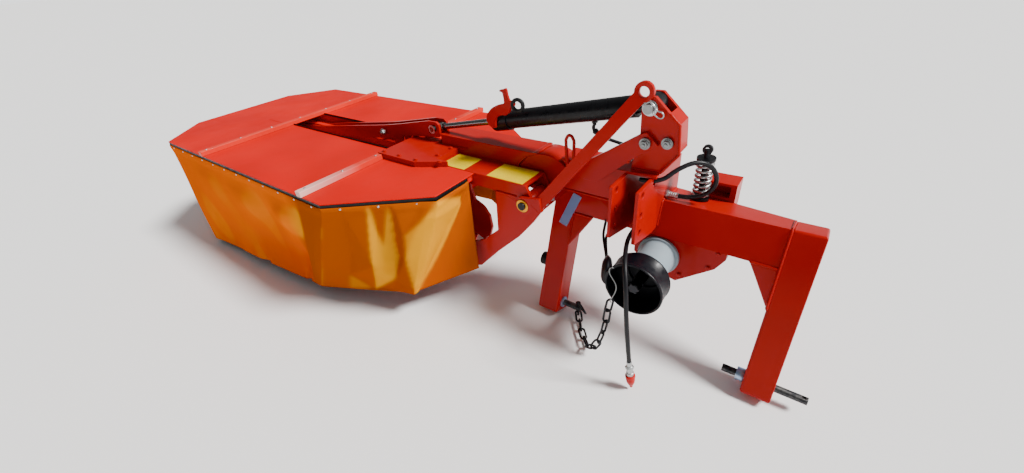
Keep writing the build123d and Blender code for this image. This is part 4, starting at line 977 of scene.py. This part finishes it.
# Bolts: name, body, width across flats (mm), look, shank end shown, heads as (place in mm, way that it faces)
BOLTS = [
    ("lever_bolt", "cutter", 22, "grey_steel", True, [((-262, 51, 552), FRONT), ((-262, 113, 552), BACK)]),
    ("mast_bolts", "headstock", 19, "grey_steel", True, [
        ((880, 32.5, 694), FRONT), ((934, 44.5, 699), FRONT),
        ((880, 127.5, 694), BACK), ((934, 127.5, 699), BACK)]),
    ("sleeve_bolts", "headstock", 13, "zinc", True, [((598, -22, 470), RIGHT), ((598, 14, 470), RIGHT)]),
    ("guard_bolts", "headstock", 11, "red", False, [
        ((x, 100, z), FRONT) for x, z in ((871, 376), (880, 296), (1000, 262), (1078, 318), (1098, 376))]),
    ("bracket_bolts", "headstock", 16, "zinc", True, [((1042, 304, 456), BACK), ((1042, 304, 508), BACK)]),
    ("stop_bolt", "headstock", 13, "zinc", True, [((529, 50, 185), LEFT)]),
]
KNIFE_CIRCLE, KNIFE_STUD_Z = 300, 64.2


def washer(inner, outer, thickness, segments=40):
    """A flat ring in mm, with no wall in its bore."""
    profile = [(inner, 0), (outer, 0), (outer, thickness), (inner, thickness)]
    return turned(np.array(profile) * MM, segments)


class MOWER_OT_fasteners(bpy.types.Operator):
    """Set the nuts, washers and clips of the lever, the mast and the pins"""
    bl_idname = "mower.fasteners"
    bl_label = "Fasteners"

    def execute(self, context):
        for name, body, across, look, shank, heads in BOLTS:
            bolts(name, body, across, look, shank, heads)
        mast_pin = BARREL_PIN * (1, 0, 1)
        Shape().many(washer(13, 20.5, 2.6), mast_pin + (0, 52 * MM, 0), FRONT, ends=False).made(
            "mast_pin_washer", "headstock", "zinc")
        self.clip(mast_pin + (0, 42 * MM, 0))
        bush = turned(np.array([(13.4, 0), (22, 0), (22, 2), (20.5, 3), (13.4, 3)]) * MM, 40)
        Shape().many(bush, (FOLD_AXIS[0], -78 * MM, FOLD_AXIS[1]), FRONT, ends=False).made(
            "hinge_bush", "headstock", "brass")
        self.knuckle_seal()
        self.eye_end()
        self.latch()
        self.linch_ring()
        self.knife_bolts()
        return {"FINISHED"}

    def clip(self, centre):
        """Spring clip: one leg straight through the pin, an eye beside it, the other leg bent over it."""
        flat = np.array([(-20, 0), (-6, 0), (10, 0), (27, 0), (36, 2), (42, 9), (38, 17), (29, 18), (22, 13),
                         (15, 12), (8, 15.5), (0, 17), (-8, 15.5), (-14, 12), (-20, 14)]) * MM
        tilt = math.radians(-38)
        across = np.array((math.cos(tilt), 0, math.sin(tilt)))
        up = np.array((-math.sin(tilt), 0, math.cos(tilt)))
        path = smooth(centre + flat[:, :1] * across + flat[:, 1:] * up, 1.2 * MM)
        Shape().tube(path, circle(1.9 * MM, 10)).made("mast_pin_clip", "headstock", "zinc", crease=60)

    def knuckle_seal(self):
        """Lip on the rear box's hollow end: an arc close round the fixed half, cut level with its top."""
        (_, y0, bottom), (_, y1, top) = low("rear_box"), high("rear_box")
        reach = top - FOLD_AXIS[1]
        foot = math.asin((bottom + 1 * MM - FOLD_AXIS[1]) / reach)
        angle = np.linspace(math.radians(102), math.pi - foot, 33)
        ring = np.column_stack([np.cos(angle), np.sin(angle)])
        outer = ring * (reach + KNUCKLE_GAP + 1 * MM)
        outer[:, 1] = np.minimum(outer[:, 1], reach + 1.2 * MM)
        outline = np.concatenate([ring * (reach + 0.7 * MM), outer[::-1]])
        place = (FOLD_AXIS[0], y1 - 0.5 * MM, FOLD_AXIS[1])
        Shape().plate(outline, y1 - y0 - 1 * MM, place, RIGHT, UP).made("knuckle_seal", "cutter", "red")

    def eye_end(self):
        """The rod's screwed eye: a thicker shank with its black lock nut, and the washers on its pin."""
        shank = turned(np.array([(10, 20), (14, 22), (15, 26), (15, 41), (13.5, 43), (11, 44)]) * MM, 32)
        Shape().many(shank, ROD_EYE, -ROD_WAY, ends=False).made("eye_shank", "rod", "worn")
        nut = Shape().many(hexagon(26 * MM, 10 * MM), ROD_EYE - ROD_WAY * 41 * MM, -ROD_WAY)
        nut.made("eye_nut", "rod", "dark")
        sides = ROD_EYE + np.array([(0, -27, 0), (0, 27.2, 0)]) * MM
        washers = Shape().many(washer(9.9, 17, 2, 32), sides, [FRONT, BACK], ends=False)
        washers.made("eye_washers", "rod", "zinc")

    def latch(self):
        """Transport latch: a sickle with a hammer-shaped handle, its rubber ring and the barrel's nose."""
        sickle = np.array([
            (399, 782), (401, 788), (414, 790), (425, 795), (429, 788), (431, 771), (437, 756), (450, 758),
            (457, 749), (451, 739), (438, 736), (434, 721), (419, 709), (395, 707), (381, 700), (374, 690),
            (370, 679), (371, 660), (351, 661), (340, 668), (333, 680), (334, 694), (342, 709), (360, 726),
            (385, 739), (414, 746), (414, 762), (411, 781)])
        hook = Shape().plate(rounded_outline(sickle) * MM, 8 * MM, (0, 50.8 * MM, 0), RIGHT, UP).made(
            "latch_sickle", "barrel", "red", crease=35, bevel=1.2)
        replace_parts(hook, "latch_hook")
        turn = np.linspace(0, 2 * np.pi, 41)[:-1]
        path = np.array((464, 48, 745)) + np.column_stack([
            17.5 * np.cos(turn), 3 * np.cos(turn), 17.5 * np.sin(turn)])
        path *= MM
        inside = path.mean(0) - path
        inside /= np.linalg.norm(inside, axis=1)[:, None]
        section = circle(6 * MM, 12)
        ring = path[:, None] + section[..., :1] * inside[:, None] + section[..., 1:] * BACK
        Shape().grid(ring, close_rows=True, close_columns=True).made(
            "latch_ring", "barrel", "rubber", crease=60)
        nose = np.array([(11.4, 0), (30, 0), (33, 1.5), (34, 4), (34, 24), (11.4, 24), (11.4, 0)]) * MM
        Shape().many(turned(nose), BARREL_PIN + ROD_WAY * 552 * MM, -ROD_WAY, ends=False).made(
            "barrel_nose", "barrel", "black_paint")

    def linch_ring(self):
        """Flat spring ring of the linch pin, folded over the hitch pin's end."""
        path = np.array([
            (697, 8, 64), (699, 2, 70), (712, -9, 72), (728, -15, 66), (738, -14, 55), (736, -6, 47),
            (724, 2, 50), (712, 8, 58), (702, 12, 64), (697, 9, 64)]) * MM
        section = circle(1.0, 12) * (1.8 * MM, 3.4 * MM)
        Shape().tube(smooth(path, 1.5 * MM), section).made("linch_ring", "headstock", "dark", crease=60)

    def knife_bolts(self):
        """Three studs under each drum, one for each knife."""
        for drum in ("drum_outer", "drum_inner"):
            x, y = (low(drum)[:2] + high(drum)[:2]) / 2 / MM
            ways = [(math.cos(turn), math.sin(turn)) for turn in np.radians((0, 120, 240))]
            studs = [((x + KNIFE_CIRCLE * across, y + KNIFE_CIRCLE * up, KNIFE_STUD_Z), (0, 0, -1))
                     for across, up in ways]
            bolts(f"knife_bolts_{drum[5:]}", drum, 16, "worn", False, studs)


# Drive bell, input shaft and what hangs on them

FLAP_PLACE, FLAP_WAY = (0.830, -0.056, 0.320), (-1, -0.45, 0.1)
# The strap's two runs from the guard to the flap, in mm
STRAP_RUNS = [
    [(750, 99, 390), (751, 84, 364), (764, 50, 357), (790, 10, 350), (816, -30, 345), (826, -52, 334)],
    [(784, 99, 390), (781, 84, 368), (774, 50, 364), (794, 10, 353), (818, -30, 340), (826, -54, 322)],
]
HOOK_ROUTE = np.array([
    (866, -92, 232), (863, -96, 242), (870, -103, 254), (884, -104, 290), (886, -104, 315),
    (874, -104, 334), (862, -104, 350), (860, -104, 364), (866, -103, 374), (872, -98, 370)]) * MM
# Sections of the input shaft: place along Y, tooth radius and root radius, in mm
SPLINE_SECTIONS = [
    (-95, 14.0, 12.5), (-93, 17.45, 14.5), (-70, 17.45, 14.5), (-70, 14.2, 14.2), (-63, 14.2, 14.2),
    (-63, 17.45, 14.5), (-12, 17.45, 14.5), (-8, 17.45, 17.45), (94, 17.45, 17.45)]
class MOWER_OT_drive(bpy.types.Operator):
    """Model the drive bell, the splined input shaft, the bell's flap, its strap and the chain's hook"""
    bl_idname = "mower.drive"
    bl_label = "Drive"

    def execute(self, context):
        bell = [(80, 2), (82.5, 0), (85.5, 1), (86.5, 4), (86, 9), (84, 11), (83.5, 62), (85, 64),
                (85, 67), (83, 69), (80.5, 75), (66, 90), (60, 93), (60, 96), (55.5, 98), (55.5, 105),
                (20, 105), (20, 101), (50, 98), (52, 90), (63, 84), (78, 68), (79.5, 60), (80.5, 12), (80, 2)]
        front = (SHAFT_X, -100 * MM, SHAFT_Z)
        shape = Shape().many(turned(np.array(bell) * MM, 72), front, BACK, ends=False)
        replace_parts(shape.made("drive_bell", "headstock", "bell", crease=40), "pto_bell")
        self.shaft()
        flap = [(0, -16), (24, -14.5), (35, -10), (42, -4), (44, 0), (42, 4), (35, 10), (24, 14.5), (0, 16)]
        Shape().many(turned(np.array(flap) * MM, 40), FLAP_PLACE, FLAP_WAY, ends=False).made(
            "bell_flap", "headstock", "bell", crease=40)
        strap = Shape()
        for path in STRAP_RUNS:
            strap.tube(smooth(np.array(path) * MM, 3 * MM), circle(1.0, 12) * (4.2 * MM, 6.2 * MM))
        strap.made("bell_strap", "headstock", "rubber", crease=60)
        Shape().tube(smooth(HOOK_ROUTE, 1.5 * MM), circle(1.7 * MM, 10)).made(
            "chain_hook", "headstock", "grey_steel", crease=60)
        self.chain()
        return {"FINISHED"}

    def chain(self):
        """Oval links at one pitch along the chain's route, every second one turned by a quarter."""
        stations = spaced(CHAIN_ROUTE, LINK_LENGTH - 4 * LINK_WIRE - 0.4 * MM)
        along = np.diff(stations, axis=0)
        along /= np.linalg.norm(along, axis=1)[:, None]
        flat = np.cross(along, UP)
        flat /= np.linalg.norm(flat, axis=1)[:, None]
        up = np.where(np.arange(len(along))[:, None] % 2 == 1, flat, np.cross(flat, along))
        turn = np.linspace(0, 2 * np.pi, 28, endpoint=False)
        out = np.stack([np.cos(turn), np.sin(turn), 0 * turn], -1)
        halves = np.sign(np.round(out[:, :1], 6)) * (LINK_LENGTH / 2 - LINK_WIDTH / 2) * np.array(RIGHT)
        centre = out * (LINK_WIDTH / 2 - LINK_WIRE) + halves
        ring = circle(LINK_WIRE, 10)
        link = centre[:, None] + ring[None, :, :1] * out[:, None] + ring[None, :, 1:] * np.array(UP)
        shape = Shape()
        for place, x, z in zip((stations[:-1] + stations[1:]) / 2, along, up):
            shape.grid(link @ np.stack([x, np.cross(z, x), z]) + place, close_rows=True, close_columns=True)
        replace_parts(shape.made("chain_links", "headstock", "dark", crease=60), "chain")

    def shaft(self):
        """Six straight splines with a locking groove: round sections, smaller between the teeth."""
        turn = np.linspace(0, 2 * np.pi, 144, endpoint=False)
        tooth = np.abs((np.degrees(turn) + 30) % 60 - 30) < 14.6
        rows = []
        for y, top, root in SPLINE_SECTIONS:
            radius = np.where(tooth, top, root) * MM
            rows.append(np.column_stack([
                SHAFT_X + radius * np.cos(turn), np.full(144, y * MM), SHAFT_Z + radius * np.sin(turn)]))
        # The splines take the blackened steel, darker than the frame's turned steel: painted shade inside the
        # bell.
        splines = Shape().grid(np.array(rows), close_columns=True, ends=True).made(
            "input_splines", "input_shaft", "dark", crease=25, slot="steel")
        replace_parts(splines, "pto_shaft")


# Spring

SPRING_AXIS, SPRING_FOOT, SPRING_HEAD = (0.998, 0.205), 491.6 * MM, 599.2 * MM
SPRING_TURNS, SPRING_RADIUS, SPRING_WIRE = 8.0, 21 * MM, 3.9 * MM


class MOWER_OT_spring(bpy.types.Operator):
    """Wind the spring on its rod"""
    bl_idname = "mower.spring"
    bl_label = "Spring"

    def execute(self, context):
        """A helix whose first and last tenth rise more slowly than the rest."""
        share = np.linspace(0, 1, 300)
        rise = np.interp(share, (0, 0.10, 0.90, 1), (0, 0.035, 0.965, 1))
        turn = share * SPRING_TURNS * 2 * np.pi
        path = np.column_stack([
            SPRING_AXIS[0] + SPRING_RADIUS * np.cos(turn), SPRING_AXIS[1] + SPRING_RADIUS * np.sin(turn),
            SPRING_FOOT + (SPRING_HEAD - SPRING_FOOT) * rise])
        coil = Shape().tube(path, circle(SPRING_WIRE, 12))
        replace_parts(coil.made("coil_spring", "headstock", "bright", crease=60), "spring")
        return {"FINISHED"}


# Welds

# Places along X of the legs' inner faces and of the clevis plates, where alike seams run
LEG_FACES, PLATE_FACES = (633, 1250), (914, 829)
WELDS = {
    # body: lines of points, in mm
    "headstock": [
        [(633, 130, 490), (633, 118, 456)], [(633, 91.5, 384), (633, 50, 274)],
        [(1250, 130, 490), (1250, 91.5, 386), (1250, 50, 274)],
        [(634, 91, 385.5), (706, 91, 385.5)], [(1249, 91, 385.5), (1177, 91, 385.5)],
        *([(x, 131, 489.5), (x, 202, 477)] for x in LEG_FACES),
        *([(x, 132, 489.5), (x, 262, 467)] for x in PLATE_FACES),
        *([(x, 129, 488), (x, 100, 411)] for x in PLATE_FACES),
        *([(x, 42, 602), (x, 186, 602)] for x in PLATE_FACES),
        [(842, 51.5, 610), (919, 51.5, 610)], [(842, 118.5, 610), (919, 118.5, 610)],
        [(922, 51.5, 610), (966, 51.5, 672), (959, 51.5, 748), (931, 51.5, 774)],
        [(829.5, 57, 491), (829.5, 57, 595), (829.5, 149, 595.5)], [(600, 56, 491), (826, 56, 489)],
        [(636, 50, 556), (632, 50, 575)], [(656, 50, 556), (660, 50, 575)],
        [(852, 99.5, 391), (1118, 99.5, 391)], [(1012, 236, 476), (1012, 300, 470)],
    ],
    "cutter": [
        [(428, -60.5, 491.5), (514, -60.5, 491.5)], [(177, -60.5, 536), (177, -60.5, 493)],
        *([(x0, y, 470.5), (x1, y, 470.5)] for y in (58.5, 111.5)
          for x0, x1 in ((-1030, -702), (-202, -152))),
        [(92, 150.5, 538), (338, 150.5, 538)], [(92, 49.5, 558), (222, 49.5, 558)],
    ],
}


class MOWER_OT_welds(bpy.types.Operator):
    """Run weld beads along the joints of the steel work"""
    bl_idname = "mower.welds"
    bl_label = "Welds"

    def execute(self, context):
        for body, lines in WELDS.items():
            welds(f"welds_{body}", body, lines)
        return {"FINISHED"}


# Stage

# The photo's camera: place, degrees round, down and rolled, and the lens from 430 of 1024 pixels
CAMERA_PLACE = (1.270, -1.006, 1.143)
CAMERA_TURN, CAMERA_DOWN, CAMERA_ROLL = 39.975, 33.513, -5.971
SENSOR_WIDTH = 36.0
CAMERA_LENS = SENSOR_WIDTH * 430.0 / 1024.0
FLOOR_REACH = 900.0
SUN_SIDE = (0.66, 0.20, 0.72)


class MOWER_OT_stage(bpy.types.Operator):
    """Set the floor, the lights and the camera"""
    bl_idname = "mower.stage"
    bl_label = "Stage"

    def execute(self, context):
        self.camera()
        floor = bpy.data.meshes.new("floor")
        corners = rectangle(-FLOOR_REACH, FLOOR_REACH, -FLOOR_REACH, FLOOR_REACH)
        floor.from_pydata([(x, y, 0) for x, y in corners], [], [(0, 1, 2, 3)])
        ground = bpy.data.objects.new("floor", floor)
        context.scene.collection.objects.link(ground)
        material, _ = new_material("floor_paper")
        paper = {"Base Color": (0.93, 0.93, 0.93, 1), "Roughness": 0.9, "Specular IOR Level": 0.1}
        floor.materials.append(shaded(material, paper))
        self.sky()
        sun = bpy.data.lights.new("sun", "SUN")
        sun.energy, sun.angle, sun.color = 6.6, math.radians(14), (1.0, 0.985, 0.96)
        holder = bpy.data.objects.new("sun", sun)
        holder.rotation_euler = (-Vector(SUN_SIDE)).to_track_quat("-Z", "Y").to_euler()
        context.scene.collection.objects.link(holder)
        return {"FINISHED"}

    def sky(self):
        """A dim studio sky, lighter on the sun's side, with a band at the horizon as pale as the floor."""
        world = bpy.data.worlds.new("studio")
        bpy.context.scene.world = world
        world.use_nodes = True
        tree = world.node_tree
        way = parts(tree, add(tree, "TexCoord").outputs["Generated"])
        sunny = ranged(tree, way["X"], -0.3, 0.8, 0.30, 0.75)
        behind = ranged(tree, way["Y"], -0.6, 0.3, 0.35, 1.0)
        band = ranged(tree, way["Z"], 0.03, 0.10, 1.7, 0.0)
        strength = combined(tree, "MAXIMUM", times(tree, sunny, behind), band)
        wired(tree, tree.nodes["Background"], {"Color": (0.98, 0.99, 1.0, 1), "Strength": strength})

    def camera(self):
        """The camera looks along a direction turned round and down from +Y, and is rolled about it."""
        turn, down, roll = (math.radians(value) for value in (CAMERA_TURN, CAMERA_DOWN, CAMERA_ROLL))
        ahead = Vector((-math.sin(turn) * math.cos(down), math.cos(turn) * math.cos(down), -math.sin(down)))
        right = Vector((math.cos(turn), math.sin(turn), 0))
        up = right.cross(ahead)
        right, up = math.cos(roll) * right + math.sin(roll) * up, math.cos(roll) * up - math.sin(roll) * right
        lens = bpy.data.cameras.new("camera")
        lens.sensor_width, lens.sensor_fit = SENSOR_WIDTH, "HORIZONTAL"
        lens.lens, lens.clip_start = CAMERA_LENS, 0.02
        camera = bpy.data.objects.new("camera", lens)
        axes = Matrix((right, up, -ahead)).transposed().to_4x4()
        camera.matrix_world = Matrix.Translation(CAMERA_PLACE) @ axes
        bpy.context.scene.collection.objects.link(camera)
        bpy.context.scene.camera = camera


OPERATORS = [
    MOWER_OT_stage, MOWER_OT_hoses, MOWER_OT_frame_finish, MOWER_OT_skirt, MOWER_OT_hood_fittings,
    MOWER_OT_panels, MOWER_OT_fasteners, MOWER_OT_drive, MOWER_OT_spring, MOWER_OT_welds,
]


class MOWER_PT_panel(bpy.types.Panel):
    """Sizes, colours and steps of the mower's finish"""
    bl_idname = "MOWER_PT_panel"
    bl_label = "Drum Mower"
    bl_space_type = "VIEW_3D"
    bl_region_type = "UI"
    bl_category = "Mower"

    def draw(self, context):
        for group in (context.scene.mower_sizes, context.scene.mower_colours):
            for key in group.__annotations__:
                self.layout.prop(group, key)
        for operator in OPERATORS:
            self.layout.operator(operator.bl_idname)


CLASSES = [MowerSizes, MowerColours, MOWER_PT_panel, *OPERATORS]


def register():
    for kind in CLASSES:
        bpy.utils.register_class(kind)
    bpy.types.Scene.mower_sizes = bpy.props.PointerProperty(type=MowerSizes)
    bpy.types.Scene.mower_colours = bpy.props.PointerProperty(type=MowerColours)


def unregister():
    del bpy.types.Scene.mower_colours, bpy.types.Scene.mower_sizes
    for kind in reversed(CLASSES):
        bpy.utils.unregister_class(kind)


def main():
    register()
    for operator in OPERATORS:
        group, name = operator.bl_idname.split(".")
        getattr(getattr(bpy.ops, group), name)()
    bpy.context.view_layer.update()


if __name__ == "__main__":
    main()
